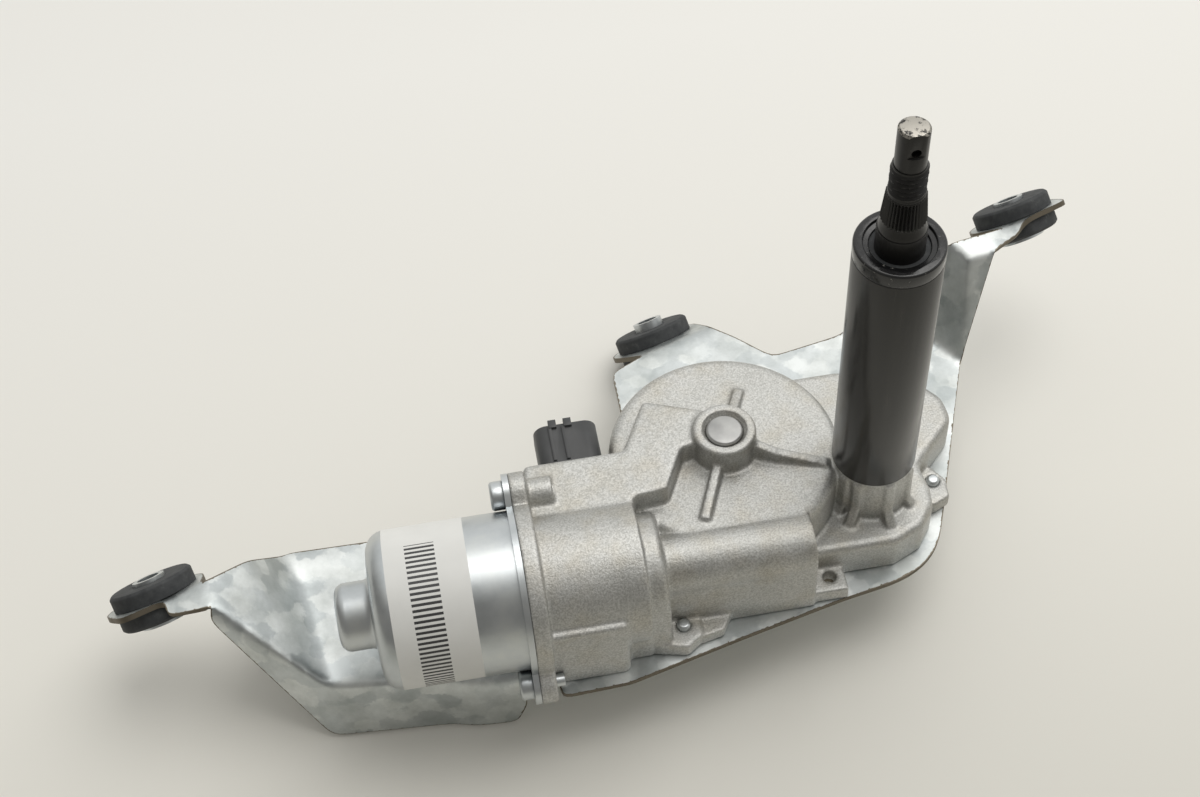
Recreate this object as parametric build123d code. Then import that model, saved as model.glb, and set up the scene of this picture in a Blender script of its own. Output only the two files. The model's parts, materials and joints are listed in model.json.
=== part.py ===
from build123d import *
from math import acos, atan2, ceil, cos, degrees, hypot, pi, radians, sin, tan
import os

# Rear wiper motor with its mounting bracket, in millimetres.
# The origin is on the axis of the output spindle, where the black sleeve seats on the casting.
# +Z runs up the spindle, +X from the motor can to the gearbox, and +Y to the back.

# Driving dimensions of the output spindle and its tower
spindle_d = 13.5
sleeve_d = 24.8
sleeve_wall = 1.6
sleeve_length = 88.7
cap_height = 4.5
cap_opening_d = 16.4
cap_groove_width = 1.6
cap_groove_depth = 1.0
bush_wall = 1.8
upper_bush_length = 16.0
lower_bush_length = 15.0
spindle_neck_length = 6.3
knurl_length = 12.8
knurl_top_d = 10.7
thread_length = 10.1
thread_d = 10.0
tip_length = 12.5
tip_d = 8.4
tip_flat = 7.0
tip_hole_d = 2.6
tip_hole_drop = 6.0
spindle_cross_edge = 0.6
pinion_seat_d = 10.0
link_journal_d = 8.0

# Driving dimensions of the worm gear
gear_module = 1.0
wheel_teeth = 57
wheel_thickness = 7.8
wheel_hub_d = 15.0
wheel_pin_d = 11.0
wheel_journal_d = 8.0
worm_pitch_d = 9.0
worm_turns = 7
tooth_share = 0.40
gear_root_gap = 0.25

# Driving dimensions of the sector linkage under the wheel
link_module = 1.5
pinion_teeth = 12
sector_teeth = 26
rocker_swing = 40.0
rocker_rest_angle = 75.0
link_tooth_share = 0.46
link_root_gap = 0.35
pressure_angle = radians(20)
flank_steps = 3
sector_thickness = 3.0
rocker_thickness = 2.4
sector_spare_teeth = 2
sector_arm_width = 11.0
link_eye_d = 14.0
link_pin_d = 6.0
crank_pin_d = 6.0
crank_boss_d = 11.0

# Driving dimensions of the gear housing, an aluminium die casting
housing_bottom_z = -31.1
housing_wall = 3.0
dome_d = 69.7
dome_top_z = -1.25
dome_edge = 3.0
boss_d = 19.0
boss_height = 9.5
boss_groove = 1.1
boss_groove_depth = 1.4
platform_z = -17.6
platform_edge = 2.4
platform_corner = 3.0
platform_back_corner = 7.0
platform_back_x = 20.0
stem_d = 24.0
tower_clearance = 0.05
block_top_z = 6.35
block_corner = 1.6
block_edge = 1.2
tunnel_d = 18.2
tunnel_front_inset = 0.4
tunnel_end_x = -23.6
ring_d = 32.2
ring_edge = 2.5
ring_length = 6.2
bell_d = 41.0
bell_length = 29.4
motor_flange_thickness = 5.0
motor_flange_rim = 1.95
motor_ear_wall = 4.1
motor_flange_x = -109.0
casting_rib = 3.0
ear_height = 5.2
foot_height = 4.2
cover_screw_d = 4.0

# Driving dimensions of the motor
can_d = 46.5
can_wall = 1.6
can_length = 42.0
can_flange_thickness = 1.8
can_edge = 6.0
rear_cup_d = 20.0
rear_cup_length = 10.7
rear_cup_edge = 3.0
magnet_thickness = 4.6
magnet_length = 30.0
magnet_arc = 130.0
air_gap = 0.7
core_length = 24.0
core_slots = 10
core_slot_width = 2.6
core_tooth_tip = 1.6
core_hub_d = 19.0
shaft_d = 8.0
rear_journal_d = 6.0
front_journal_d = 11.4
commutator_d = 16.0
commutator_length = 11.0
commutator_bars = 10
brush_width = 5.0
brush_height = 4.0
brush_length = 5.0
spring_strip = 0.3
spring_folds = 4
spring_width = 4.0
spring_depth = 3.0
motor_screw_gap = 0.25
motor_screw_angle = 37.5
motor_screw_d = 4.0
motor_screw_head_d = 8.6
motor_screw_head_height = 4.0
motor_screw_reaches = [7.0, 2.6]

# Driving dimensions of the pressed steel bracket
sheet = 1.6
panel_drop = 4.3
wall_foot_z = -59.0
pad_r = 15.6
grommet_d = 25.8
grommet_disc = 5.0
grommet_waist_d = 17.0
sleeve_bore_d = 6.8
mount_sleeve_wall = 1.6
mount_sleeve_flange_d = 15.0
mount_sleeve_flange = 1.4
mount_sleeve_stands = {"left": 1.0, "middle": 2.6, "right": 1.0}
grommet_edge = 0.8

# Driving dimensions of the connector
socket_width = 19.0
socket_height = 13.0
socket_length = 14.4
socket_wall = 1.5
blade_width = 2.8
blade_thickness = 0.8

# Outlines of the housing as seen from above, and where its ribs, ears and screws stand
output_outline = [(-30, -20.8), (3.2, -20.8), (12.4, -16.6), (17.6, -9.6), (18.4, -3.2), (17.2, 5.6),
                  (32.0, 20.5), (31.2, 29.6), (26.6, 35.4), (1.0, 46.0), (-26.0, 46.0), (-43.0, 11.3)]
ear_outlines = [[(-73.0, -28.0), (-73.0, -38.2), (-64.0, -40.2), (-58.8, -36.5), (-58.8, -28.0)],
                [(-25.0, -19.5), (-25.0, -29.4), (-13.0, -29.4), (-13.0, -19.5)],
                [(12.0, 9.4), (22.6, 9.4), (26.0, 4.0), (25.6, -2.4), (20.6, -4.8), (12.0, -4.8)]]
foot_outline = [(-60.0, -28.0), (-60.0, -37.3), (-52.4, -35.6), (-49.4, -30.8), (-49.4, -28.0)]
stem_fins = {-148: 2.2, -126: 4.6, -80: 4.6, -40: 2.6, 20: 2.6, 150: 2.6}
stem_fin_top = 0.9
block_outline = [(-104.0, -11.0), (-74.0, -11.0), (-73.6, -6.3), (-63.4, -5.3), (-56.7, 8.2), (-47.0, 10.0),
                 (-47.0, 21.0), (-64.9, 27.9), (-73.8, 10.8), (-104.0, 10.8)]
ear_places = [(-64.0, -32.6), (-17.8, -24.0), (21.8, 3.8)]
blind_places = [(-21.0, 42.5), (-86.0, 4.0)]
fin_d = 3.4
link_wall = 2.4
blind_r = 4.0
front_bush_length = 10.0
bell_wall = 4.0
bump_setback = 6.6
fin_setback = 0.8
worm_room = 1.2

# Driving dimensions of the contact plate, the clips and the small bearings
washer_thickness = 0.8
clip_thickness = 1.2
disc_thickness = 0.4
contact_outer_r = 27.0
contact_inner_r = 16.0
finger_width = 1.6
finger_thickness = 0.4
finger_x = [-68.2, -65.6, -63.0]
finger_y = 8.0
rear_bush_length = 8.0
ball_r = 2.0
finger_root = 5.0
finger_bend = 0.6
finger_reach = 4.0
finger_end = 5.2
finger_slope = 0.2
contact_plate_thickness = 2.2
plate_from_x = -70.6
plate_to_x = -58.6
plate_from_y = -1.8
plate_to_y = 16.0
bridge_from_x = -100.4
bridge_from_y = 0.5
bridge_to_y = 7.0

# Driving dimensions of the connector's place and blades
block_back_y = 10.8
socket_x = -89.3
socket_z = -1.9
socket_floor = 2.4
blade_reach = 9.0
blade_count = 5
blade_pitch = 3.2
tongue_width = 17.0
tongue_height = 5.0
blade_drop = 3.4

# Driving dimensions of the screws and the label
cover_screw_grip = 8.0
cover_screw_head = 2.6
screw_edge = 0.6
label_from = -240
label_to = -66
label_setback = 13.2
label_width = 23.5
label_thickness = 0.1

# Driving dimensions of the bracket as seen from above
pad_half = 12.5
pad_points = 20
left_break = 1.5
right_break = -4.5
plate_front = [(-103.0, -46.4), (-82.2, -45.6), (-47.2, -37.0), (-14.1, -29.4), (2.1, -26.6),
               (8.8, -24.2), (13.8, -21.0), (17.6, -17.0), (20.4, -12.2), (24.0, -3.3)]
plate_notch = [(-14.8, 66.0), (-25.0, 76.4)]
plate_back = [(-67.9, 69.4), (-67.9, 50.0), (-78.0, 26.0)]
step_x = -103.0
low_x = -107.0
step_front_y = -36.0
low_front_y = -34.4
step_back_y = 20.0
wall_right_place = (-113.0, -33.8)
wall_left_place = (-170.8, -27.0)
foot_right_place = (-116.5, -34.6)
foot_left_place = (-172.6, -30.4)
valley_place = (-175.2, 1.5)
hump_place = (-179.8, 21.0)

# Fits and clearances
running_gap = 0.04
free_gap = 0.3
seat_gap = 0.02
label_gap = 0.03

# Places that the driving dimensions share
wheel_x, wheel_y = -43.0, 11.3
pitch_r = gear_module * wheel_teeth / 2
worm_y = wheel_y - pitch_r - worm_pitch_d / 2
worm_z = -9.0
bracket_z = housing_bottom_z - sheet / 2
panel_z = bracket_z - panel_drop
tower_d = sleeve_d - 2 * sleeve_wall - 2 * tower_clearance
tower_bore_d = spindle_d + 2 * bush_wall
worm_lead = pi * gear_module
worm_tip_r = worm_pitch_d / 2 + gear_module
worm_root_r = worm_pitch_d / 2 - gear_module - gear_root_gap
wheel_tip_r = pitch_r + gear_module
wheel_root_r = pitch_r - gear_module - gear_root_gap
wheel_z = worm_z
wheel_bottom_z = wheel_z - wheel_thickness / 2
wheel_top_z = wheel_z + wheel_thickness / 2
gear_cavity_r = dome_d / 2 - housing_wall
pinion_r = link_module * pinion_teeth / 2
sector_r = link_module * sector_teeth / 2
rocker_length = pinion_r + sector_r
platform_under_z = platform_z - housing_wall
pinion_top_z = platform_under_z - washer_thickness - free_gap
sector_top_z = pinion_top_z - 0.2
sector_bottom_z = sector_top_z - sector_thickness
pinion_bottom_z = sector_bottom_z - 0.2
rocker_top_z = pinion_bottom_z - free_gap
rocker_bottom_z = rocker_top_z - rocker_thickness
sleeve_top_z = sleeve_length
cap_top_z = sleeve_top_z + cap_height
knurl_z = cap_top_z + spindle_neck_length
thread_z = knurl_z + knurl_length
tip_z = thread_z + thread_length
spindle_top_z = tip_z + tip_length
motor_flange_d = can_d + 2 * motor_flange_rim
motor_screw_spread = can_d / 2 + motor_screw_gap + motor_screw_head_d / 2


# Helpers
def upright(diameter, z0, z1, x=0.0, y=0.0):
    """A round bar along Z between two heights."""
    return Pos(x, y, (z0 + z1) / 2) * Cylinder(diameter / 2, z1 - z0)


def along_motor(diameter, x0, x1, y=None, z=None):
    """A round bar along X, on the motor axis unless it is given a place."""
    y = worm_y if y is None else y
    z = worm_z if z is None else z
    return Pos((x0 + x1) / 2, y, z) * Rot(0, 90, 0) * Cylinder(diameter / 2, abs(x1 - x0))


def block(x0, x1, y0, y1, z0, z1):
    """A box between two corners."""
    return Pos((x0 + x1) / 2, (y0 + y1) / 2, (z0 + z1) / 2) * Box(x1 - x0, y1 - y0, z1 - z0)


def slab(points, z0, z1):
    """A flat outline raised between two heights."""
    return Pos(0, 0, z0) * extrude(make_face(Polyline(*points, close=True)), z1 - z0)


def polar(radius, angle, x=0.0, y=0.0):
    """A point at a radius and an angle in degrees from a centre."""
    return x + radius * cos(radians(angle)), y + radius * sin(radians(angle))


def involute(angle):
    return tan(angle) - angle


def flank_half_angle(radius, pitch_radius, module, share):
    """Half the angle that an involute tooth takes up at a radius, in degrees."""
    base = pitch_radius * cos(pressure_angle)
    at = acos(base / max(radius, base))
    half = share * pi * module / 2 / pitch_radius + involute(pressure_angle) - involute(at)
    return degrees(half)


def spur_tooth_points(middle, pitch_radius, module, share, x, y):
    """One involute tooth, from root to tip and back to root."""
    tip_r = pitch_radius + module
    root_r = pitch_radius - module - link_root_gap
    start = max(root_r, pitch_radius * cos(pressure_angle))
    radii = [root_r] + [start + (tip_r - start) * step / flank_steps for step in range(flank_steps + 1)]
    halves = [flank_half_angle(radius, pitch_radius, module, share) for radius in radii]
    up = [polar(radius, middle - half, x, y) for radius, half in zip(radii, halves)]
    down = [polar(radius, middle + half, x, y) for radius, half in zip(radii, halves)]
    return up + down[::-1]


def save(node, shape):
    """Write one node, and say how many solids it has."""
    solids = shape.solids()
    whole = solids[0] if len(solids) == 1 else Compound(children=list(solids))
    whole.label = node
    export_step(whole, f"parts/{node}.step")
    print(f"{node}: {len(solids)} solid(s), {sum(s.volume for s in solids):.1f} mm3")


def pie(radius, angle0, angle1, z0, z1, x=0.0, y=0.0):
    """A wedge of a disc between two angles in degrees, wide enough to cut a ring with."""
    middle = (angle0 + angle1) / 2
    reach = radius / cos(radians((angle1 - angle0) / 4))
    points = [(x, y), polar(reach, angle0, x, y), polar(reach, (angle0 + middle) / 2, x, y),
              polar(reach, middle, x, y), polar(reach, (middle + angle1) / 2, x, y),
              polar(reach, angle1, x, y)]
    return slab(points, z0, z1)


def top_edges(shape):
    return shape.edges().group_by(Axis.Z)[-1]


# Gear housing
bell_x = motor_flange_x + motor_flange_thickness
bell_end_x = bell_x + bell_length
ring_end_x = bell_end_x + ring_length
cavity_top_z = dome_top_z - housing_wall
block_cavity_z = block_top_z - housing_wall
bell_wall_x = bell_end_x - bell_wall
bump_end_x = bell_end_x - bump_setback
fin_end_x = bump_end_x - fin_setback
front_bush_d = front_journal_d + 2 * bush_wall
boss_top_z = dome_top_z + boss_height
tunnel_bore_d = 2 * (worm_tip_r + worm_room)
tunnel_bore_end_x = tunnel_end_x - housing_wall


def outline_face(points, corner):
    face = make_face(Polyline(*points, close=True))
    return fillet(face.vertices(), corner)


def block_face():
    return outline_face(block_outline, block_corner)


def output_face():
    """The outline of the output room, with wide corners at its back right."""
    face = make_face(Polyline(*output_outline, close=True))
    back_corners = face.vertices().filter_by_position(Axis.X, platform_back_x, 2 * platform_back_x)
    face = fillet(back_corners, platform_back_corner)
    other_corners = face.vertices().filter_by_position(Axis.X, -3 * platform_back_x, platform_back_x)
    return fillet(other_corners, platform_corner)


def stem_fin(angle, foot):
    """A buttress that stands against the stem and runs out on the platform."""
    out_x, out_y = polar(1, angle)
    plane = Plane(origin=(0, 0, 0), x_dir=(out_x, out_y, 0), z_dir=(out_y, -out_x, 0))
    top_r = stem_d / 2 + stem_fin_top
    foot_r = stem_d / 2 + foot
    profile = Polyline((0, platform_z - 1), (foot_r, platform_z - 1), (foot_r, platform_z + 0.6),
                       (top_r, platform_z + foot + 0.6), (top_r, -1.2), (0, -1.2), close=True)
    return extrude(plane * make_face(profile), casting_rib / 2, both=True)


def rib(x0, y0, x1, y1, foot_z, z0, z1):
    """A cast rib from one place to another, with its top edge sloping from z0 to z1."""
    length = hypot(x1 - x0, y1 - y0)
    plane = Plane(origin=(x0, y0, 0), x_dir=((x1 - x0) / length, (y1 - y0) / length, 0),
                  z_dir=((y1 - y0) / length, -(x1 - x0) / length, 0))
    sketch = make_face(Polyline((0, foot_z), (length, foot_z), (length, z1), (0, z0), close=True))
    return extrude(plane * sketch, casting_rib / 2, both=True)


def flange_outline(diameter):
    """The outline that the motor can and the housing share, with two ears on a diagonal."""
    ear = motor_screw_d + 2 * motor_ear_wall
    centre = Plane(origin=(0, worm_y, worm_z), x_dir=(0, 1, 0), z_dir=(1, 0, 0))
    arm = Rot(0, 0, motor_screw_angle) * Rectangle(2 * motor_screw_spread, ear)
    sketch = Circle(diameter / 2) + arm
    for side in (0, 180):
        sketch += Pos(*polar(motor_screw_spread, motor_screw_angle + side)) * Circle(ear / 2)
    return centre * sketch


def motor_screw_places():
    return [polar(motor_screw_spread, motor_screw_angle + side, worm_y, worm_z) for side in (0, 180)]


def housing_outside():
    dome = upright(dome_d, housing_bottom_z, dome_top_z, wheel_x, wheel_y)
    dome = fillet(top_edges(dome), dome_edge)
    output = Pos(0, 0, housing_bottom_z) * extrude(output_face(), platform_z - housing_bottom_z)
    output = fillet(top_edges(output), platform_edge)
    raised = Pos(0, 0, housing_bottom_z + 6) * extrude(block_face(), block_top_z - housing_bottom_z - 6)
    raised = fillet(top_edges(raised), block_edge)
    stem = upright(stem_d, platform_z - 2, 0)
    tower = upright(tower_d, -1, tower_top_z)
    bell = along_motor(bell_d, bell_x - 1, bell_end_x)
    bell_foot = block(bell_x - 1, bell_end_x, worm_y - 16.5, 8.0, housing_bottom_z, worm_z)
    ring = along_motor(ring_d, bell_end_x - 1, ring_end_x)
    ring = fillet(ring.edges().group_by(Axis.X)[-1], ring_edge)
    ring_foot = block(bell_end_x - 1, ring_end_x, worm_y - ring_d / 2, 0, housing_bottom_z, worm_z)
    tunnel = along_motor(tunnel_d, ring_end_x - 1, tunnel_end_x)
    front_y = worm_y - tunnel_d / 2 + tunnel_front_inset
    tunnel_foot = block(ring_end_x - 1, tunnel_end_x, front_y, worm_y + 8, housing_bottom_z, worm_z)
    front_y = worm_y - bell_d / 2
    bump = block(bell_x - 1, bump_end_x, front_y, -30.0, housing_bottom_z, worm_z)
    bump = fillet(bump.edges().filter_by(Axis.Z).group_by(Axis.X)[-1].group_by(Axis.Y)[0], 2.5)
    fin = along_motor(fin_d, bell_x - 1, fin_end_x, front_y + 0.3, worm_z + 4.0)
    fin = fillet(fin.edges().group_by(Axis.X)[-1], fin_d / 2 - 0.1)
    flange = extrude(flange_outline(motor_flange_d), motor_flange_thickness)
    flange = Pos(motor_flange_x, 0, 0) * flange
    boss = upright(boss_d, dome_top_z - 1, boss_top_z, wheel_x, wheel_y)
    boss = fillet(top_edges(boss), 0.8)
    shape = dome + output + raised + stem + tower + bell + bell_foot + ring + ring_foot
    shape = shape + tunnel + tunnel_foot + bump + fin + flange + boss
    for points in ear_outlines:
        shape += slab(points, housing_bottom_z, housing_bottom_z + ear_height)
    shape += slab(foot_outline, housing_bottom_z, housing_bottom_z + foot_height)
    shape += rib(wheel_x, wheel_y, -34.2, 31.5, dome_top_z - 1, boss_top_z - 4, dome_top_z + 1.2)
    shape += rib(wheel_x, wheel_y, -54.0, -13.6, dome_top_z - 1, boss_top_z - 4, dome_top_z + 1.2)
    shape += rib(wheel_x, wheel_y, -28.5, 4.0, dome_top_z - 1, boss_top_z - 1, dome_top_z + 4.2)
    shape += rib(-28.5, 4.1, -13.6, -0.6, dome_top_z - 1, dome_top_z + 4.0, dome_top_z + 1.1)
    for angle, foot in stem_fins.items():
        shape += stem_fin(angle, foot)
    top_boss_y, top_boss_z = motor_screw_places()[0]
    shape += along_motor(9.0, bell_x - 1, bell_x + 7.5, top_boss_y, top_boss_z - 1.5)
    return shape


def housing_inside():
    """Everything that is hollow in the casting, as one solid to cut away."""
    gear_room = upright(2 * gear_cavity_r, housing_bottom_z - 1, cavity_top_z, wheel_x, wheel_y)
    link_face = offset(output_face(), -link_wall)
    link_room = Pos(0, 0, housing_bottom_z - 1) * extrude(link_face, platform_under_z - housing_bottom_z + 1)
    contact_face = offset(block_face(), -housing_wall)
    contact_room = Pos(0, 0, cavity_top_z - 2) * extrude(contact_face, block_cavity_z - cavity_top_z + 2)
    tunnel = along_motor(tunnel_bore_d, bell_wall_x - 1, tunnel_bore_end_x)
    bush_seat = along_motor(front_bush_d, bell_wall_x - 1, bell_wall_x + front_bush_length)
    brush_room = along_motor(bell_d - 2 * housing_wall, motor_flange_x - 1, bell_wall_x)
    spindle_bore = upright(tower_bore_d, platform_under_z - 1, tower_top_z + 1)
    groove_d = wheel_pin_d + 2 * boss_groove
    groove = upright(groove_d, boss_top_z - boss_groove_depth, boss_top_z + 1, wheel_x, wheel_y)
    pin_bore = upright(wheel_pin_d, cavity_top_z - 1, boss_top_z + 1, wheel_x, wheel_y)
    rooms = gear_room + link_room + contact_room + tunnel + bush_seat + brush_room
    return rooms + spindle_bore + groove + pin_bore


def gear_housing():
    shape = housing_outside() - housing_inside()
    for x, y in blind_places:
        shape += upright(2 * blind_r, housing_bottom_z, housing_bottom_z + cover_screw_grip + 1.5, x, y)
    for x, y in ear_places:
        shape -= upright(cover_screw_d, housing_bottom_z - 1, housing_bottom_z + ear_height + 1, x, y)
    for x, y in blind_places:
        shape -= upright(cover_screw_d, housing_bottom_z - 1, housing_bottom_z + cover_screw_grip, x, y)
    for (y, z), reach in zip(motor_screw_places(), motor_screw_reaches):
        shape -= along_motor(motor_screw_d, motor_flange_x - 1, bell_x + reach + 0.4, y, z)
    shape -= socket_window()
    return shape


# Output spindle, its bearings and the tower sleeve
tower_top_z = sleeve_top_z - 2.7
spindle_clip_z = tower_top_z + washer_thickness + 0.1


def tower_sleeve():
    tube = upright(sleeve_d, 0, sleeve_top_z) - upright(sleeve_d - 2 * sleeve_wall, -1, sleeve_top_z + 1)
    return tube


def sleeve_cap():
    ring = upright(sleeve_d, sleeve_top_z, cap_top_z)
    ring = chamfer(top_edges(ring), 0.5)
    spigot = upright(sleeve_d - 2 * sleeve_wall, tower_top_z, sleeve_top_z)
    groove_r = sleeve_d / 2 - 2.6
    groove = upright(2 * groove_r, cap_top_z - cap_groove_depth, cap_top_z + 1)
    groove -= upright(2 * (groove_r - cap_groove_width), cap_top_z - cap_groove_depth, cap_top_z + 1)
    opening = upright(cap_opening_d, cap_top_z - 3, cap_top_z + 1)
    hollow = upright(tower_bore_d + 1.2, tower_top_z - 1, cap_top_z - 1.6)
    return ring + spigot - groove - opening - hollow


def shaft_seal():
    top = cap_top_z - 1.7
    ring = upright(tower_bore_d + 1.1, top - 1.6, top)
    return ring - upright(spindle_d + 2 * running_gap, top - 3, top + 1)


def bush(z0, z1):
    return upright(tower_bore_d, z0, z1) - upright(spindle_d + 2 * running_gap, z0 - 1, z1 + 1)


def spindle_washer():
    ring = upright(tower_bore_d, tower_top_z, tower_top_z + washer_thickness)
    return ring - upright(spindle_d + 2 * running_gap, tower_top_z - 1, tower_top_z + 2)


def spindle_clip():
    ring = upright(spindle_d + 3.0, spindle_clip_z, spindle_clip_z + clip_thickness)
    ring -= upright(spindle_d - 1.2, spindle_clip_z - 1, spindle_clip_z + clip_thickness + 1)
    return ring - block(0, spindle_d, -2.2, 2.2, spindle_clip_z - 1, spindle_clip_z + clip_thickness + 1)


def thrust_washer():
    z0 = platform_under_z - washer_thickness
    return upright(tower_bore_d + 3, z0, platform_under_z) - upright(spindle_d + 2 * running_gap, z0 - 1, 0)


def output_spindle():
    shaft = upright(spindle_d, pinion_top_z, knurl_z)
    shaft -= (upright(spindle_d + 2, spindle_clip_z, spindle_clip_z + clip_thickness)
              - upright(spindle_d - 1.2, spindle_clip_z - 1, spindle_clip_z + clip_thickness + 1))
    cone = Pos(0, 0, knurl_z + knurl_length / 2) * Cone(spindle_d / 2 - 0.25, knurl_top_d / 2, knurl_length)
    thread = upright(thread_d, thread_z, tip_z)
    tip = upright(tip_d, tip_z, spindle_top_z)
    tip = chamfer(top_edges(tip), spindle_cross_edge)
    tip -= block(-tip_d, tip_d, -tip_d, -tip_flat / 2, spindle_top_z - 7.5, spindle_top_z + 1)
    hole = Pos(0, 0, spindle_top_z - tip_hole_drop) * Rot(90, 0, 0) * Cylinder(tip_hole_d / 2, 2 * tip_d)
    seat = upright(pinion_seat_d, pinion_bottom_z, pinion_top_z)
    journal = upright(link_journal_d, link_clip_z - 1.8, pinion_bottom_z)
    journal -= (upright(link_journal_d + 2, link_clip_z - clip_thickness, link_clip_z)
                - upright(link_journal_d - 1.2, link_clip_z - 3, link_clip_z + 1))
    return shaft + cone + thread + (tip - hole) + seat + journal


# Sector linkage: the spindle pinion, the rocker link and the toothed sector link
link_clip_z = rocker_bottom_z - 0.15
rest_x, rest_y = polar(rocker_length, rocker_rest_angle)
far_x, far_y = polar(rocker_length, rocker_rest_angle + rocker_swing)
rest_reach = hypot(rest_x - wheel_x, rest_y - wheel_y)
far_reach = hypot(far_x - wheel_x, far_y - wheel_y)
crank_r = (rest_reach - far_reach) / 2
sector_link_length = (rest_reach + far_reach) / 2
rest_tilt = degrees(atan2(rest_y - wheel_y, rest_x - wheel_x))
far_tilt = degrees(atan2(far_y - wheel_y, far_x - wheel_x))
gear_roll = rocker_swing - (far_tilt - rest_tilt)
spindle_sweep = rocker_swing + gear_roll * sector_r / pinion_r
crank_x, crank_y = polar(crank_r, rest_tilt, wheel_x, wheel_y)
print(f"spindle sweep {spindle_sweep:.4f} deg, rocker ratio {rocker_swing / spindle_sweep:.6f}, "
      f"sector ratio {-gear_roll / spindle_sweep:.6f}, crank radius {crank_r:.3f} mm, "
      f"sector pivot {rest_x:.3f} {rest_y:.3f}")


def drive_pinion():
    points = []
    for tooth in range(pinion_teeth):
        middle = rocker_rest_angle + tooth * 360 / pinion_teeth
        points += spur_tooth_points(middle, pinion_r, link_module, link_tooth_share, 0, 0)
    return slab(points, pinion_bottom_z, pinion_top_z) - upright(pinion_seat_d, pinion_bottom_z - 1, 0)


def sector_link():
    tooth_angle = 360 / sector_teeth
    contact = rocker_rest_angle + 180
    last = ceil(gear_roll / tooth_angle)
    points = [(rest_x, rest_y)]
    for tooth in range(-sector_spare_teeth, last):
        middle = contact + (tooth + 0.5) * tooth_angle
        points += spur_tooth_points(middle, sector_r, link_module, link_tooth_share, rest_x, rest_y)
    shape = slab(points, sector_bottom_z, sector_top_z)
    length = hypot(rest_x - crank_x, rest_y - crank_y)
    middle_x, middle_y = (rest_x + crank_x) / 2, (rest_y + crank_y) / 2
    bar = Pos(middle_x, middle_y, (sector_top_z + sector_bottom_z) / 2) * Rot(0, 0, rest_tilt)
    shape += bar * Box(length, sector_arm_width, sector_thickness)
    shape += upright(link_eye_d, sector_bottom_z, sector_top_z, rest_x, rest_y)
    shape += upright(link_eye_d, sector_bottom_z, sector_top_z, crank_x, crank_y)
    shape -= upright(link_pin_d + 2 * running_gap, sector_bottom_z - 1, 0, rest_x, rest_y)
    return shape - upright(crank_pin_d + 2 * free_gap, sector_bottom_z - 1, 0, crank_x, crank_y)


def rocker_link():
    bar = Pos(rest_x / 2, rest_y / 2, (rocker_top_z + rocker_bottom_z) / 2) * Rot(0, 0, rocker_rest_angle)
    shape = bar * Box(rocker_length, sector_arm_width, rocker_thickness)
    for x, y in ((0, 0), (rest_x, rest_y)):
        shape += upright(link_eye_d, rocker_bottom_z, rocker_top_z, x, y)
    shape -= upright(link_journal_d + 2 * running_gap, rocker_bottom_z - 1, 0)
    return shape - upright(link_pin_d, rocker_bottom_z - 1, 0, rest_x, rest_y)


def sector_pin():
    head_z = sector_top_z + 0.1
    return (upright(link_pin_d, rocker_bottom_z, head_z, rest_x, rest_y)
            + upright(link_pin_d + 3.4, head_z, head_z + 0.8, rest_x, rest_y))


def link_clip():
    ring = upright(link_journal_d + 3.0, link_clip_z - clip_thickness, link_clip_z)
    ring -= upright(link_journal_d - 1.2, link_clip_z - 3, link_clip_z + 1)
    return ring - block(0, link_journal_d, -1.8, 1.8, link_clip_z - 3, link_clip_z + 1)


# Worm wheel, its pin and the parking contacts
wheel_pin_top_z = boss_top_z - 0.4
wheel_washer_z = wheel_bottom_z - 0.15
wheel_clip_z = wheel_washer_z - washer_thickness - 0.1


def wheel_outline():
    tooth_angle = 360 / wheel_teeth
    points = []
    for tooth in range(wheel_teeth):
        middle = 270 + tooth * tooth_angle
        for radius, side in ((wheel_root_r, -1), (wheel_tip_r, -1), (wheel_tip_r, 1), (wheel_root_r, 1)):
            half = tooth_share * pi * gear_module / 2 + (pitch_r - radius) * tan(pressure_angle)
            points.append(polar(radius, middle + side * degrees(half / radius)))
    return make_face(Polyline(*points, close=True))


def worm_wheel():
    twist = degrees(wheel_thickness * gear_module / worm_pitch_d / pitch_r)
    section = (Rot(0, 0, -twist / 2) * wheel_outline()).face()
    rim = Solid.extrude_linear_with_rotation(section, (0, 0, 0), (0, 0, wheel_thickness), twist)
    rim = Pos(wheel_x, wheel_y, wheel_bottom_z) * rim
    wheel = Part() + rim
    recess_z = wheel_bottom_z + 2.4
    recess = upright(2 * (wheel_root_r - 3.2), wheel_bottom_z - 1, recess_z, wheel_x, wheel_y)
    recess -= upright(wheel_hub_d, wheel_bottom_z - 2, recess_z + 1, wheel_x, wheel_y)
    recess -= upright(crank_boss_d, wheel_bottom_z - 2, recess_z + 1, crank_x, crank_y)
    for spoke in range(6):
        turned = Pos(wheel_x, wheel_y, 0) * Rot(0, 0, rest_tilt + 60 * spoke)
        recess -= turned * block(0, wheel_root_r, -1.1, 1.1, wheel_bottom_z - 2, recess_z + 1)
    wheel -= recess
    wheel += upright(wheel_hub_d, wheel_top_z - 1, cavity_top_z - free_gap, wheel_x, wheel_y)
    wheel -= upright(wheel_journal_d + 2 * running_gap, wheel_bottom_z - 2, 0, wheel_x, wheel_y)
    return wheel - upright(crank_pin_d, wheel_bottom_z - 2, wheel_bottom_z + 5.5, crank_x, crank_y)


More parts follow.
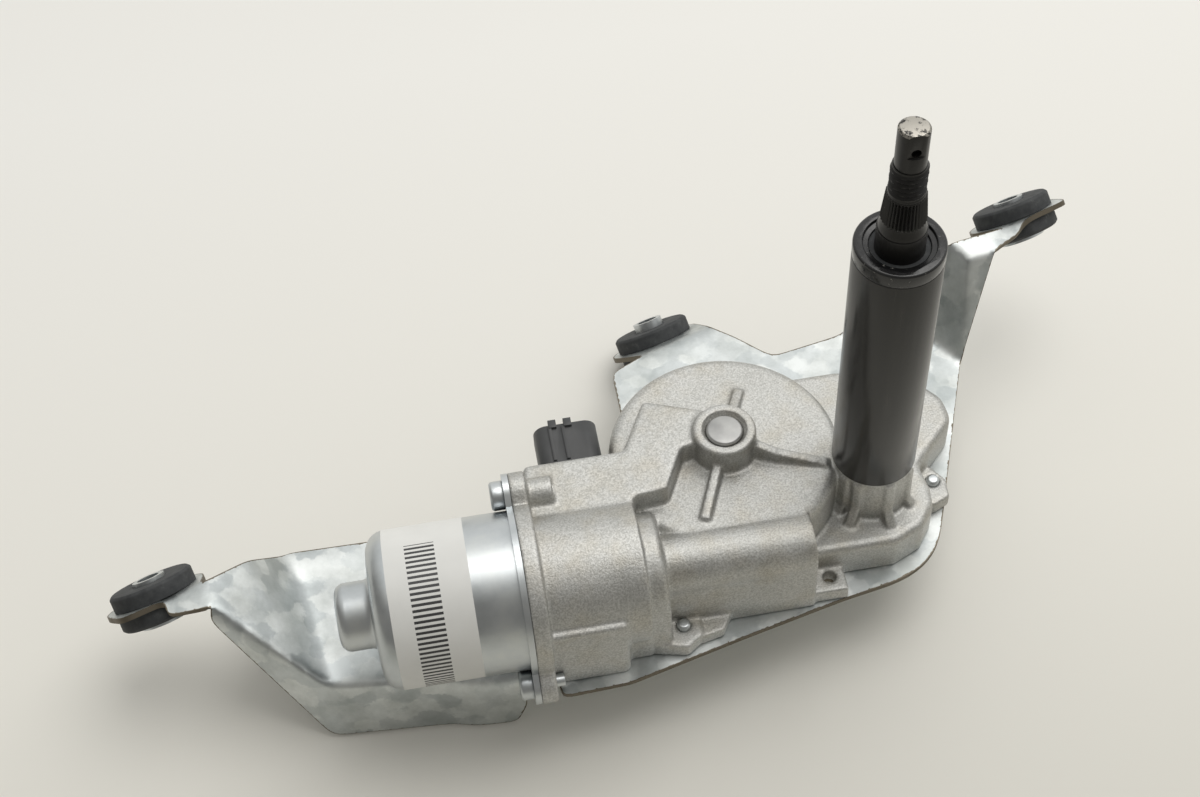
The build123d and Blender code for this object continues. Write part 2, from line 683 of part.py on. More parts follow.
def wheel_pin():
    head = upright(wheel_pin_d, cavity_top_z, wheel_pin_top_z, wheel_x, wheel_y)
    head = chamfer(top_edges(head), 0.5)
    journal = upright(wheel_journal_d, wheel_clip_z - clip_thickness - 0.7, cavity_top_z, wheel_x, wheel_y)
    journal -= (upright(wheel_journal_d + 2, wheel_clip_z - clip_thickness, wheel_clip_z, wheel_x, wheel_y)
                - upright(wheel_journal_d - 1.2, wheel_clip_z - 3, wheel_clip_z + 1, wheel_x, wheel_y))
    return head + journal


def wheel_washer():
    ring = upright(wheel_journal_d + 3, wheel_washer_z - washer_thickness, wheel_washer_z, wheel_x, wheel_y)
    return ring - upright(wheel_journal_d + 2 * running_gap, wheel_washer_z - 3, 0, wheel_x, wheel_y)


def wheel_clip():
    ring = upright(wheel_journal_d + 2.6, wheel_clip_z - clip_thickness, wheel_clip_z, wheel_x, wheel_y)
    ring -= upright(wheel_journal_d - 1.2, wheel_clip_z - 3, 0, wheel_x, wheel_y)
    return ring - block(wheel_x, wheel_x + wheel_journal_d, wheel_y - 1.8, wheel_y + 1.8, wheel_clip_z - 3, 0)


def crank_pin():
    return upright(crank_pin_d, sector_top_z + free_gap, wheel_bottom_z + 5.5, crank_x, crank_y)


def park_disc():
    """The brass ring on the wheel, with the notch that parks the wiper."""
    ring = upright(2 * contact_outer_r, wheel_top_z, wheel_top_z + disc_thickness, wheel_x, wheel_y)
    ring -= upright(2 * contact_inner_r, wheel_top_z - 1, wheel_top_z + 1, wheel_x, wheel_y)
    return ring - pie(contact_outer_r + 1, 200, 224, wheel_top_z - 1, wheel_top_z + 1, wheel_x, wheel_y)


contact_plate_bottom_z = block_cavity_z - contact_plate_thickness


def contact_plate():
    plate = block(plate_from_x, plate_to_x, plate_from_y, plate_to_y, contact_plate_bottom_z, block_cavity_z)
    bridge = block(bridge_from_x, plate_from_x, bridge_from_y, bridge_to_y,
                   contact_plate_bottom_z, block_cavity_z)
    room = offset(block_face(), -housing_wall - 0.1)
    room = Pos(0, 0, contact_plate_bottom_z - 1) * extrude(room, 5)
    return (plate + bridge) & room


def contact_fingers():
    """Spring fingers that reach down from the contact plate to the ring on the wheel."""
    tip_z = wheel_top_z + disc_thickness + 0.05
    root_z = contact_plate_bottom_z
    line = [(finger_y + finger_root, root_z), (finger_y + finger_root, root_z - finger_thickness),
            (finger_y + finger_bend, root_z - finger_thickness), (finger_y - finger_reach, tip_z),
            (finger_y - finger_end, tip_z), (finger_y - finger_end, tip_z + finger_thickness),
            (finger_y - finger_reach - finger_slope, tip_z + finger_thickness),
            (finger_y + finger_bend - finger_thickness, root_z)]
    shape = Part()
    for x in finger_x:
        plane = Plane(origin=(x, 0, 0), x_dir=(0, 1, 0), z_dir=(1, 0, 0))
        face = plane * make_face(Polyline(*line, close=True))
        shape += extrude(face, finger_width / 2, both=True)
    return shape


# Motor
can_front_x = motor_flange_x - can_flange_thickness
can_back_x = can_front_x - can_length
cup_back_x = can_back_x - rear_cup_length
core_x = (can_front_x + can_back_x) / 2 + 1.0
rear_bush_x = cup_back_x + can_wall + 1.6
magnet_outer_r = can_d / 2 - can_wall
magnet_inner_r = magnet_outer_r - magnet_thickness
core_r = magnet_inner_r - air_gap
commutator_x = bell_x - 1.0
brush_x = commutator_x + commutator_length / 2
brush_plate_x = brush_x - 5.5
worm_x0 = wheel_x - worm_turns * worm_lead / 2
worm_x1 = wheel_x + worm_turns * worm_lead / 2
pad_x = tunnel_bore_end_x - 1.6
ball_x = pad_x - 0.05 - ball_r


def motor_can():
    shell = along_motor(can_d, can_back_x, can_front_x)
    shell = fillet(shell.edges().group_by(Axis.X)[0], can_edge)
    cup = along_motor(rear_cup_d, cup_back_x, can_back_x + can_edge)
    cup = fillet(cup.edges().group_by(Axis.X)[0], rear_cup_edge)
    flange = Pos(can_front_x, 0, 0) * extrude(flange_outline(motor_flange_d), can_flange_thickness)
    hollow = along_motor(can_d - 2 * can_wall, can_back_x + can_wall, motor_flange_x + 1)
    hollow = fillet(hollow.edges().group_by(Axis.X)[0], can_edge - can_wall)
    cup_hollow = along_motor(rear_cup_d - 2 * can_wall, cup_back_x + can_wall, can_back_x + can_edge)
    shape = shell + cup + flange - hollow - cup_hollow
    for y, z in motor_screw_places():
        shape -= along_motor(motor_screw_d + 0.4, can_front_x - 1, motor_flange_x + 1, y, z)
    return shape


def magnets():
    tube = along_motor(2 * magnet_outer_r, core_x - magnet_length / 2, core_x + magnet_length / 2)
    tube -= along_motor(2 * magnet_inner_r, core_x - magnet_length, core_x + magnet_length)
    gap = (180 - magnet_arc) / 2
    shape = tube
    for side in (90, 270):
        wedge = pie(can_d, side - gap, side + gap, -magnet_length, magnet_length)
        shape -= Pos(core_x, worm_y, worm_z) * Rot(0, 90, 0) * wedge
    return shape


def armature_shaft():
    """The shaft with its rolled worm, in one piece."""
    lead_angle = 360 / worm_lead
    half = tooth_share * worm_lead / 2
    tip_half = (half - gear_module * tan(pressure_angle)) * lead_angle
    root_half = (half + (gear_module + gear_root_gap) * tan(pressure_angle)) * lead_angle
    steps = 4
    flank = [(worm_root_r + (worm_tip_r - worm_root_r) * step / steps,
              root_half + (tip_half - root_half) * step / steps) for step in range(steps + 1)]
    rise = [polar(radius, -angle) for radius, angle in flank]
    fall = [polar(radius, angle) for radius, angle in flank][::-1]
    tip_arc = ThreePointArc(rise[-1], (worm_tip_r, 0), fall[0])
    root_arc = ThreePointArc(fall[-1], (-worm_root_r, 0), rise[0])
    section = make_face(Curve() + Spline(*rise) + tip_arc + Spline(*fall) + root_arc)
    turns = 360 * worm_turns
    length = worm_turns * worm_lead
    phase = 90 + 180 + 180 * worm_turns
    turned = (Rot(0, 0, phase) * section).face()
    worm = Solid.extrude_linear_with_rotation(turned, (0, 0, 0), (0, 0, length), turns)
    worm = Pos(worm_x0, worm_y, worm_z) * Rot(0, 90, 0) * worm
    journal_end_x = bell_wall_x + front_bush_length + 2
    shaft = Part() + worm
    shaft += along_motor(shaft_d, journal_end_x, worm_x0 + 0.2)
    shaft += along_motor(front_journal_d, bell_wall_x - 1, journal_end_x)
    shaft += along_motor(shaft_d, can_back_x + 2, bell_wall_x - 1)
    shaft += along_motor(rear_journal_d, rear_bush_x - 0.8, can_back_x + 2)
    shaft += along_motor(2 * worm_root_r, worm_x1 - 0.2, pad_x - 1.2)
    return shaft - along_motor(2 * ball_r + 0.1, ball_x - ball_r - 0.05, pad_x)


def thrust_ball():
    return Pos(ball_x, worm_y, worm_z) * Sphere(ball_r)


def thrust_pad():
    return along_motor(tunnel_bore_d, pad_x, tunnel_bore_end_x)


def armature_core():
    x0, x1 = core_x - core_length / 2, core_x + core_length / 2
    core = along_motor(2 * core_r, x0, x1) - along_motor(shaft_d, x0 - 1, x1 + 1)
    for slot in range(core_slots):
        turned = Pos(0, worm_y, worm_z) * Rot(360 / core_slots * slot, 0, 0)
        neck = block(x0 - 1, x1 + 1, -core_slot_width / 2, core_slot_width / 2, core_hub_d / 2, core_r + 1)
        pocket = block(x0 - 1, x1 + 1, -core_slot_width, core_slot_width,
                       core_hub_d / 2, core_r - core_tooth_tip)
        core -= turned * (neck + pocket)
    return core


def windings():
    """The copper heads at both ends of the core, with the bundles that lie in its slots."""
    x0, x1 = core_x - core_length / 2, core_x + core_length / 2
    shape = Part()
    for start, end in ((x0 - 6.5, x0), (x1, x1 + 6.5)):
        head = along_motor(2 * (core_r - core_tooth_tip) - 0.4, start, end)
        far = head.edges().group_by(Axis.X)[0 if start < x0 else -1]
        head = chamfer(far, 2.0)
        shape += head - along_motor(shaft_d + 3, start - 1, end + 1)
    for slot in range(core_slots):
        turned = Pos(0, worm_y, worm_z) * Rot(360 / core_slots * slot, 0, 0)
        wide = core_slot_width - 0.2
        shape += turned * block(x0, x1, -wide, wide, core_hub_d / 2 + 0.2, core_r - core_tooth_tip - 0.5)
    return shape


def commutator():
    x0, x1 = commutator_x, commutator_x + commutator_length
    ring = along_motor(commutator_d, x0, x1) + along_motor(commutator_d + 2.4, x0, x0 + 1.4)
    ring -= along_motor(shaft_d, x0 - 1, x1 + 1)
    for bar in range(commutator_bars):
        turned = Pos(0, worm_y, worm_z) * Rot(360 / commutator_bars * (bar + 0.5), 0, 0)
        ring -= turned * block(x0 - 1, x1 + 1, -0.25, 0.25, commutator_d / 2 - 0.9, commutator_d)
    return ring


brush_room_r = bell_d / 2 - housing_wall


def brush_box(width, height, r0, r1, side):
    """A box that stands out from the motor axis, up or down."""
    half = width / 2
    boxed = block(brush_x - half, brush_x + half, -height / 2, height / 2, r0, r1)
    return Pos(0, worm_y, worm_z) * Rot(side, 0, 0) * boxed


def brush_plate():
    plate = along_motor(2 * brush_room_r, brush_plate_x - 2, brush_plate_x)
    holder_r = brush_room_r - 0.4
    plate -= along_motor(commutator_d + 5, brush_plate_x - 3, brush_plate_x + 1)
    for side in (0, 180):
        holder = brush_box(brush_width + 3, brush_height + 3, commutator_d / 2 + 1.4, holder_r, side)
        holder += brush_box(brush_width + 7, brush_height + 3, commutator_d / 2 + 2.8, holder_r, side)
        plate += holder
    plate &= along_motor(2 * brush_room_r, brush_plate_x - 2, brush_x + brush_width / 2 + 1.5)
    for side in (0, 180):
        plate -= brush_box(brush_width + 0.2, brush_height + 0.2, 0, brush_room_r + 1, side)
    return plate


def brushes():
    shape = Part()
    for side in (0, 180):
        shape += brush_box(brush_width, brush_height, commutator_d / 2 - 0.6,
                           commutator_d / 2 + brush_length, side)
    return shape - along_motor(commutator_d + 2 * running_gap, commutator_x - 5, commutator_x + 30)


def brush_springs():
    """Two folded strips that press the brushes inwards."""
    start = commutator_d / 2 + brush_length + seat_gap
    rise = (brush_room_r - 0.4 - spring_strip - start) / spring_folds
    plane = Plane(origin=(brush_x, 0, 0), x_dir=(1, 0, 0), z_dir=(0, -1, 0))
    strip = Part()
    for fold in range(spring_folds):
        end = (-1) ** fold * spring_width / 2
        foot = start + fold * rise
        leaf = [(end, foot), (-end, foot + rise), (-end, foot + rise + spring_strip),
                (end, foot + spring_strip)]
        strip += extrude(plane * make_face(Polyline(*leaf, close=True)), spring_depth / 2, both=True)
    shape = Part()
    for side in (0, 180):
        shape += Pos(0, worm_y, worm_z) * Rot(side, 0, 0) * strip
    return shape


def round_bush(x0, x1, outside, inside):
    return along_motor(outside, x0, x1) - along_motor(inside, x0 - 1, x1 + 1)


# Connector in the back wall of the raised block
blade_z = socket_z - blade_drop


def socket_outline(width, height, corner):
    face = Plane(origin=(socket_x, block_back_y, socket_z), x_dir=(1, 0, 0), z_dir=(0, 1, 0))
    return face * RectangleRounded(width, height, corner)


def socket_window():
    return block(socket_x - tongue_width / 2, socket_x + tongue_width / 2, block_back_y - housing_wall - 1,
                 block_back_y + 1, blade_z - tongue_height / 2, blade_z + tongue_height / 2)


def connector_socket():
    shell = extrude(socket_outline(socket_width, socket_height, 4.0), socket_length)
    hollow = extrude(socket_outline(socket_width - 2 * socket_wall, socket_height - 2 * socket_wall, 2.5),
                     socket_length + 1)
    shell -= Pos(0, socket_floor, 0) * hollow
    top = socket_z + socket_height / 2
    for x in (socket_x - 4.5, socket_x - 0.5):
        shell += block(x - 0.5, x + 0.5, block_back_y + 1, block_back_y + socket_length - 1,
                       top - 0.5, top + 0.7)
    for x in (socket_x - 3.6, socket_x + 1.0):
        shell += block(x - 1.2, x + 1.2, block_back_y + socket_length - 1.6,
                       block_back_y + socket_length + 1.2, top - 0.5, top + 1.0)
    ear = socket_width / 2 + 1.2
    shell += block(socket_x - ear, socket_x + ear, block_back_y, block_back_y + 1.6, top - 7, top - 2)
    tongue = block(socket_x - tongue_width / 2 + 0.1, socket_x + tongue_width / 2 - 0.1,
                   block_back_y - housing_wall - 0.9, block_back_y + 0.5,
                   blade_z - tongue_height / 2 + 0.1, blade_z + tongue_height / 2 - 0.1)
    shell += tongue
    for x in blade_x():
        shell -= block(x - blade_width / 2, x + blade_width / 2, -50, 50, blade_z - blade_thickness / 2,
                       blade_z + blade_thickness / 2)
    return shell


def blade_x():
    return [socket_x + (blade - (blade_count - 1) / 2) * blade_pitch for blade in range(blade_count)]


def connector_blades():
    shape = Part()
    for x in blade_x():
        shape += block(x - blade_width / 2, x + blade_width / 2, block_back_y - housing_wall - 3,
                       block_back_y + socket_floor + blade_reach, blade_z - blade_thickness / 2,
                       blade_z + blade_thickness / 2)
    return shape


# Screws
def cover_screws():
    shape = Part()
    seat_z = bracket_z - sheet / 2
    lengths = [ear_height + 1.4, ear_height + 1.4, cover_screw_grip, cover_screw_grip]
    places = [ear_places[0], ear_places[2]] + blind_places
    for (x, y), reach in zip(places, lengths):
        head = upright(cover_screw_d * 2, seat_z - cover_screw_head, seat_z, x, y)
        shank = upright(cover_screw_d, seat_z - 0.5, housing_bottom_z + reach, x, y)
        shape += chamfer(head.edges().group_by(Axis.Z)[0], screw_edge) + chamfer(top_edges(shank), screw_edge)
    return shape


def motor_screws():
    shape = Part()
    for (y, z), reach in zip(motor_screw_places(), motor_screw_reaches):
        head = along_motor(motor_screw_head_d, can_front_x - motor_screw_head_height, can_front_x, y, z)
        head = chamfer(head.edges().group_by(Axis.X)[0], screw_edge)
        shape += head + along_motor(motor_screw_d, can_front_x - 1, bell_x + reach, y, z)
    return shape


# Bracket
across = Vector(0.946, 0.324, 0.0).normalized()
pad_normal = Vector(-0.237, 0.692, 0.682).normalized()
downhill = pad_normal.cross(across).normalized() * (1 if pad_normal.cross(across).Z < 0 else -1)
mount_centres = {"left": Vector(-217.6, 4.3, -22.3), "middle": Vector(-49.2, 92.1, -47.4),
                 "right": Vector(72.1, 90.0, -8.6)}
pad_bends = {"left": 14.0, "middle": (mount_centres["middle"].Z - bracket_z) / downhill.Z, "right": 14.0}


def pad_plane(name, rise=0.0):
    return Plane(origin=mount_centres[name] + pad_normal * rise, x_dir=across, z_dir=pad_normal)


def panel_normal(points):
    """The upward normal of a flat panel, by adding up the turns at its corners."""
    total = Vector(0, 0, 0)
    for first, second in zip(points, points[1:] + points[:1]):
        total += first.cross(second)
    return total.normalized()


def polygon_face(points):
    return Face(Wire.make_polygon(points, close=True))


def is_flat(points):
    normal = panel_normal(points)
    return max(abs((point - points[0]).dot(normal)) for point in points) < 1e-5


def place_key(point):
    return round(point.X, 4), round(point.Y, 4), round(point.Z, 4)


def folded_sheet(panels):
    """One pressed sheet: flat panels, counter-clockwise from above, with mitred bends.

    The corners lie on the middle surface. Each is moved out to both faces of the sheet,
    so far that every panel that meets there keeps its thickness.
    """
    flat = []
    for panel in panels:
        points = [Vector(*point) for point in panel]
        flat += [points] if is_flat(points) else [[points[0], q, r] for q, r in zip(points[1:], points[2:])]
    # The panel with the most corners comes last, because its thickness is then met exactly
    flat.sort(key=len)
    normals = {}
    for points in flat:
        for point in points:
            normals.setdefault(place_key(point), []).append(panel_normal(points))
    offsets = {}
    for place, around in normals.items():
        step = Vector(0, 0, 0)
        for _ in range(400):
            for normal in around:
                step += normal * (sheet / 2 - normal.dot(step))
        offsets[place] = step
    faces, sides = [], {}
    for points in flat:
        top = [point + offsets[place_key(point)] for point in points]
        bottom = [point - offsets[place_key(point)] for point in points][::-1]
        for ring in (top, bottom):
            if is_flat(ring):
                faces.append(polygon_face(ring))
            else:
                faces += [polygon_face([ring[0], q, r]) for q, r in zip(ring[1:], ring[2:])]
        for first, second in zip(points, points[1:] + points[:1]):
            edge = (place_key(first), place_key(second))
            if edge[::-1] in sides:
                del sides[edge[::-1]]
            else:
                sides[edge] = (first, second)
    for (start, end), (first, second) in sides.items():
        a, b = first + offsets[start], second + offsets[end]
        c, d = second - offsets[end], first - offsets[start]
        faces += [polygon_face([a, d, c]), polygon_face([a, c, b])]
    return Part() + Solid(Shell(faces)).clean()


def corner(name, along, down):
    point = mount_centres[name] + across * along + downhill * down
    return point.X, point.Y, point.Z


def bend_corner(name, along):
    return corner(name, along, -pad_bends[name])


def pad_panel(name):
    """The tilted pad round one grommet: a round end and a straight bend above it."""
    rim = []
    for step in range(pad_points + 1):
        angle = 180 * step / pad_points
        rim.append(corner(name, pad_r * cos(radians(angle)), pad_r * sin(radians(angle))))
    breaks = {"left": [left_break], "middle": [], "right": [right_break]}[name]
    top = [bend_corner(name, along) for along in (-pad_half, *breaks, pad_half)]
    panel = top + rim
    points = [Vector(*point) for point in panel]
    return panel if panel_normal(points).Z > 0 else panel[::-1]


def mounting_bracket():
    plate_z, low_z = bracket_z, panel_z
    # Corners that two or more panels share
    step_front, step_back = (step_x, step_front_y, plate_z), (step_x, step_back_y, plate_z)
    low_front, low_back = (low_x, low_front_y, low_z), (low_x, step_back_y, low_z)
    wall_right, wall_left = (*wall_right_place, low_z), (*wall_left_place, low_z)
    foot_right, foot_left = (*foot_right_place, wall_foot_z), (*foot_left_place, wall_foot_z)
    valley, hump = (*valley_place, low_z), (*hump_place, low_z)
    left_inner, left_middle = bend_corner("left", pad_half), bend_corner("left", left_break)
    apex, slope_back = (-199.8, -7.8, left_inner[2]), (-190.1, 9.3, -18.4)
    apex_low = (-201.2, -9.8, left_inner[2] - 4.0)
    right_middle, right_inner = bend_corner("right", right_break), bend_corner("right", -pad_half)
    right_z = right_inner[2]
    bend, crease, left_edge = (57.7, 69.4, right_z), (49.0, 68.5, right_z), (44.7, 74.6, right_z)
    low_edge, low_crease, low_left = (45.5, 52.4, plate_z), (39.7, 62.0, plate_z), (9.5, 71.0, plate_z)
    middle_right, middle_left = bend_corner("middle", pad_half), bend_corner("middle", -pad_half)
    plate = [(x, y, plate_z) for x, y in plate_front] + [low_edge, low_crease, low_left]
    plate += [(x, y, plate_z) for x, y in plate_notch] + [middle_right, middle_left]
    plate += [(x, y, plate_z) for x, y in plate_back] + [step_back, step_front]
    panels = [
        plate,
        [step_front, step_back, low_back, low_front],
        [low_front, low_back, (-156.6, 20.6, low_z), hump, valley, wall_left, wall_right],
        [wall_right, wall_left, foot_left, foot_right, (-112.8, -34.2, -50.0)],
        [wall_left, valley, slope_back],
        [valley, hump, slope_back],
        [wall_left, slope_back, apex],
        [wall_left, apex, apex_low, foot_left],
        [apex, slope_back, left_inner],
        [left_middle, (-213.0, -9.6, left_inner[2]), (-202.0, -9.2, left_inner[2]), apex, left_inner],
        [low_edge, bend, crease],
        [low_edge, crease, low_crease],
        [low_crease, crease, left_edge],
        [low_crease, left_edge, low_left],
        [bend, (67.4, 74.2, right_z), right_middle, right_inner, left_edge, crease],
    ]
    shape = folded_sheet(panels + [pad_panel(name) for name in mount_centres])
    for name in mount_centres:
        shape -= pad_plane(name) * Cylinder(grommet_waist_d / 2 + running_gap, 10)
    for x, y in ear_places + blind_places:
        shape -= upright(cover_screw_d + 0.6, plate_z - 3, plate_z + 3, x, y)
    # Room for the motor flange and its lower ear
    reach = motor_flange_thickness + can_flange_thickness + 2
    return shape - Pos(can_front_x - 1, 0, 0) * extrude(flange_outline(motor_flange_d + 2), reach)


def grommet(name):
    half = sheet / 2 + grommet_disc
    place = pad_plane(name)
    discs = Part()
    for side in (-1, 1):
        offset_z = side * (sheet / 2 + seat_gap + grommet_disc / 2)
        disc = Pos(0, 0, offset_z) * Cylinder(grommet_d / 2, grommet_disc)
        outer = disc.edges().group_by(Axis.Z)[-1 if side > 0 else 0]
        discs += chamfer(outer, grommet_edge)
    waist = Cylinder(grommet_waist_d / 2, sheet + 1)
    bore = Cylinder(sleeve_bore_d / 2 + mount_sleeve_wall, 4 * half)
    return place * (discs + waist - bore)


def mount_sleeve(name):
    half = sheet / 2 + seat_gap + grommet_disc
    stand = mount_sleeve_stands[name]
    tube = Pos(0, 0, stand / 2) * Cylinder(sleeve_bore_d / 2 + mount_sleeve_wall, 2 * half + stand)
    flange = Cylinder(mount_sleeve_flange_d / 2, mount_sleeve_flange)
    flange = Pos(0, 0, -half - mount_sleeve_flange / 2) * flange
    bore = Cylinder(sleeve_bore_d / 2, 4 * half)
    return pad_plane(name) * (tube + flange - bore)


label_x = can_front_x - label_setback


def can_label():
    """A blank printed wrap on the can."""
    inside = can_d + 2 * label_gap
    tube = round_bush(label_x - label_width, label_x, inside + 2 * label_thickness, inside)
    wedge = pie(can_d, label_from, label_to, -label_width, label_width)
    return tube & (Pos(label_x - label_width / 2, worm_y, worm_z) * Rot(0, 90, 0) * wedge)


os.makedirs("parts", exist_ok=True)
nodes = {
    "gear_housing": gear_housing,
    "tower_sleeve": tower_sleeve,
    "sleeve_cap": sleeve_cap,
    "shaft_seal": shaft_seal,
    "upper_bush": lambda: bush(tower_top_z - upper_bush_length, tower_top_z),
    "lower_bush": lambda: bush(platform_under_z, platform_under_z + lower_bush_length),
    "spindle_washer": spindle_washer,
    "spindle_clip": spindle_clip,
    "thrust_washer": thrust_washer,
    "output_spindle": output_spindle,
    "drive_pinion": drive_pinion,
    "sector_link": sector_link,
    "rocker_link": rocker_link,
    "sector_pin": sector_pin,
    "link_clip": link_clip,
    "worm_wheel": worm_wheel,
    "wheel_pin": wheel_pin,
    "wheel_washer": wheel_washer,
    "wheel_clip": wheel_clip,
    "crank_pin": crank_pin,
    "park_disc": park_disc,
    "contact_plate": contact_plate,
    "contact_fingers": contact_fingers,
    "motor_can": motor_can,
    "magnets": magnets,
    "armature_shaft": armature_shaft,
    "armature_core": armature_core,
    "windings": windings,
    "commutator": commutator,
    "thrust_ball": thrust_ball,
    "thrust_pad": thrust_pad,
    "front_bush": lambda: round_bush(bell_wall_x, bell_wall_x + front_bush_length, front_bush_d,
                                     front_journal_d + 2 * running_gap),
    "rear_bush": lambda: round_bush(rear_bush_x, rear_bush_x + rear_bush_length, rear_cup_d - 2 * can_wall,
                                    rear_journal_d + 2 * running_gap),
    "brush_plate": brush_plate,
    "brushes": brushes,
    "brush_springs": brush_springs,
    "connector_socket": connector_socket,
    "connector_blades": connector_blades,
    "cover_screws": cover_screws,
    "motor_screws": motor_screws,
    "mounting_bracket": mounting_bracket,
    "can_label": can_label,
}
for place in mount_centres:
    nodes[f"{place}_grommet"] = lambda place=place: grommet(place)
    nodes[f"{place}_mount_sleeve"] = lambda place=place: mount_sleeve(place)
for node, make in nodes.items():
    save(node, make())
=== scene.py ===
# %% [markdown]
# # A rear wiper motor on its bracket
# The model comes in as a fixed frame: every casting, shaft and clip at its real size, in metres.
# This lesson dresses it. It sets up the view and the light, gives each piece the finish that its
# maker gave it, and models again the few pieces whose small shapes matter most to the eye.

# %% Load the frame
import json
import math
import bmesh
import bpy
from mathutils import Matrix, Vector


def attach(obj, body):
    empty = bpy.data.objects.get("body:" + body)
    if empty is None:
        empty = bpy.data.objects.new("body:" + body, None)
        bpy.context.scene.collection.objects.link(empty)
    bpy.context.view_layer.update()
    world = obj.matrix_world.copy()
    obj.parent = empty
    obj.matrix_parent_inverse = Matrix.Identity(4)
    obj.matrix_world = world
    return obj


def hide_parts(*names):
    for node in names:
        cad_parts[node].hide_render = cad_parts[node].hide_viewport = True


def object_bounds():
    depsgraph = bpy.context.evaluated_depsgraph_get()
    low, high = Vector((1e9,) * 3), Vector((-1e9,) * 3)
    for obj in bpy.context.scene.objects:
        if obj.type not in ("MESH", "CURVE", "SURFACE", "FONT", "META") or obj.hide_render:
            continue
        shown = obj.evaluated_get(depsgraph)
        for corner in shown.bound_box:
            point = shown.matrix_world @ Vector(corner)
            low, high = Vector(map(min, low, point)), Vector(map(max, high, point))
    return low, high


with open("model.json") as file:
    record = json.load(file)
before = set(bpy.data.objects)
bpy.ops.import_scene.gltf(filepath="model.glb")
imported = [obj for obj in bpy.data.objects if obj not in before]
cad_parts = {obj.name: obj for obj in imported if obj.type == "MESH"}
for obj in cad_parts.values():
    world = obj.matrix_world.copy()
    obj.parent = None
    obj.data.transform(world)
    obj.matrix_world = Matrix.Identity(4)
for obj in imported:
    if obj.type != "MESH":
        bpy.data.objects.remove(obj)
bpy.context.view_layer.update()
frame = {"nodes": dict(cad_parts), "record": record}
nodes = frame["nodes"]
records = {part["node"]: part for part in frame["record"]["subparts"]}
MM = 0.001
print("pieces in the frame:", len(nodes))


def put_in_scene(thing):
    bpy.context.scene.collection.objects.link(thing)


# %% [markdown]
# ## The camera
# The photo was taken from above and in front, with a lens of about 59 mm on a full-frame sensor.
# The three directions of the camera were found from the sleeve, the can and the level faces, so
# they are given as they are, one column each.

# %% Camera
view = bpy.data.cameras.new("view")
view.sensor_fit = "HORIZONTAL"
view.sensor_width = 36.0
view.lens = 59.01
view.clip_start = 0.01
camera = bpy.data.objects.new("view", view)
put_in_scene(camera)
right = Vector((0.9851361, -0.16820729, -0.03483069))
up = Vector((0.15423044, 0.77686462, 0.61048697))
back = Vector((-0.07562963, -0.6067847, 0.79126006))
stand = Vector((-0.122094, -0.329423, 0.476346))
turn = Matrix((right, up, back)).transposed()
camera.matrix_world = Matrix.Translation(stand) @ turn.to_4x4()
bpy.context.scene.camera = camera
print("camera stands", round(stand.length, 3), "m from the spindle's foot")

# %% [markdown]
# ## Helpers for finishes
# Colours are written as sRGB hex values, as a paint chart has them. Blender mixes light in linear
# values, so one function turns them. Another adds a node, sets it and links it, so each finish
# reads as a short list. Every finish starts from Object coordinates in millimetres: a pattern of
# Scale=1 / 5 then repeats about every 5 mm of the real surface.


# %% Helpers for finishes
def colour(code):
    """An sRGB hex value as linear red, green, blue and alpha."""
    parts = [int(code[place:place + 2], 16) / 255 for place in (1, 3, 5)]
    linear = [c / 12.92 if c <= 0.04045 else ((c + 0.055) / 1.055) ** 2.4 for c in parts]
    return (*linear, 1.0)


def add(owner, kind, settings=None, **inputs):
    """Adds a node. Settings go on the node, and stops on its colour ramp. Inputs are values, other
    nodes' sockets, or nodes, which give their first output; i0, i1 and so on count the sockets."""
    tree = owner.node_tree
    node = tree.nodes.new("ShaderNode" + kind)
    for name, value in (settings or {}).items():
        if name == "stops":
            elements = node.color_ramp.elements
            while len(elements) < len(value):
                elements.new(0.5)
            for element, (place, shade) in zip(elements, value):
                element.position = place
                element.color = colour(shade) if isinstance(shade, str) else shade
        else:
            setattr(node, name, value)
    for name, value in inputs.items():
        numbered = name[0] == "i" and name[1:].isdigit()
        socket = node.inputs[int(name[1:]) if numbered else name.replace("_", " ")]
        if isinstance(value, bpy.types.Node):
            value = value.outputs[0]
        if isinstance(value, bpy.types.NodeSocket):
            tree.links.new(value, socket)
        else:
            socket.default_value = value
    return node


def new_finish(name):
    """A material with nothing in it yet, and its Object coordinates in millimetres."""
    material = bpy.data.materials.new(name)
    material.use_nodes = True
    material.node_tree.nodes.clear()
    in_metres = add(material, "TexCoord").outputs["Object"]
    return material, add(material, "Mapping", Vector=in_metres, Scale=(1 / MM,) * 3)


# %% [markdown]
# ## Bead-blasted die casting
# The housing is cast in aluminium and blasted with beads, which leaves a dull, slightly warm grey
# skin. Blasting leaves dimples a few tenths of a millimetre across. They are drawn at about half
# a millimetre, because finer ones don't show. Two slower patterns stand for the stain that
# handling and cutting fluid leave.


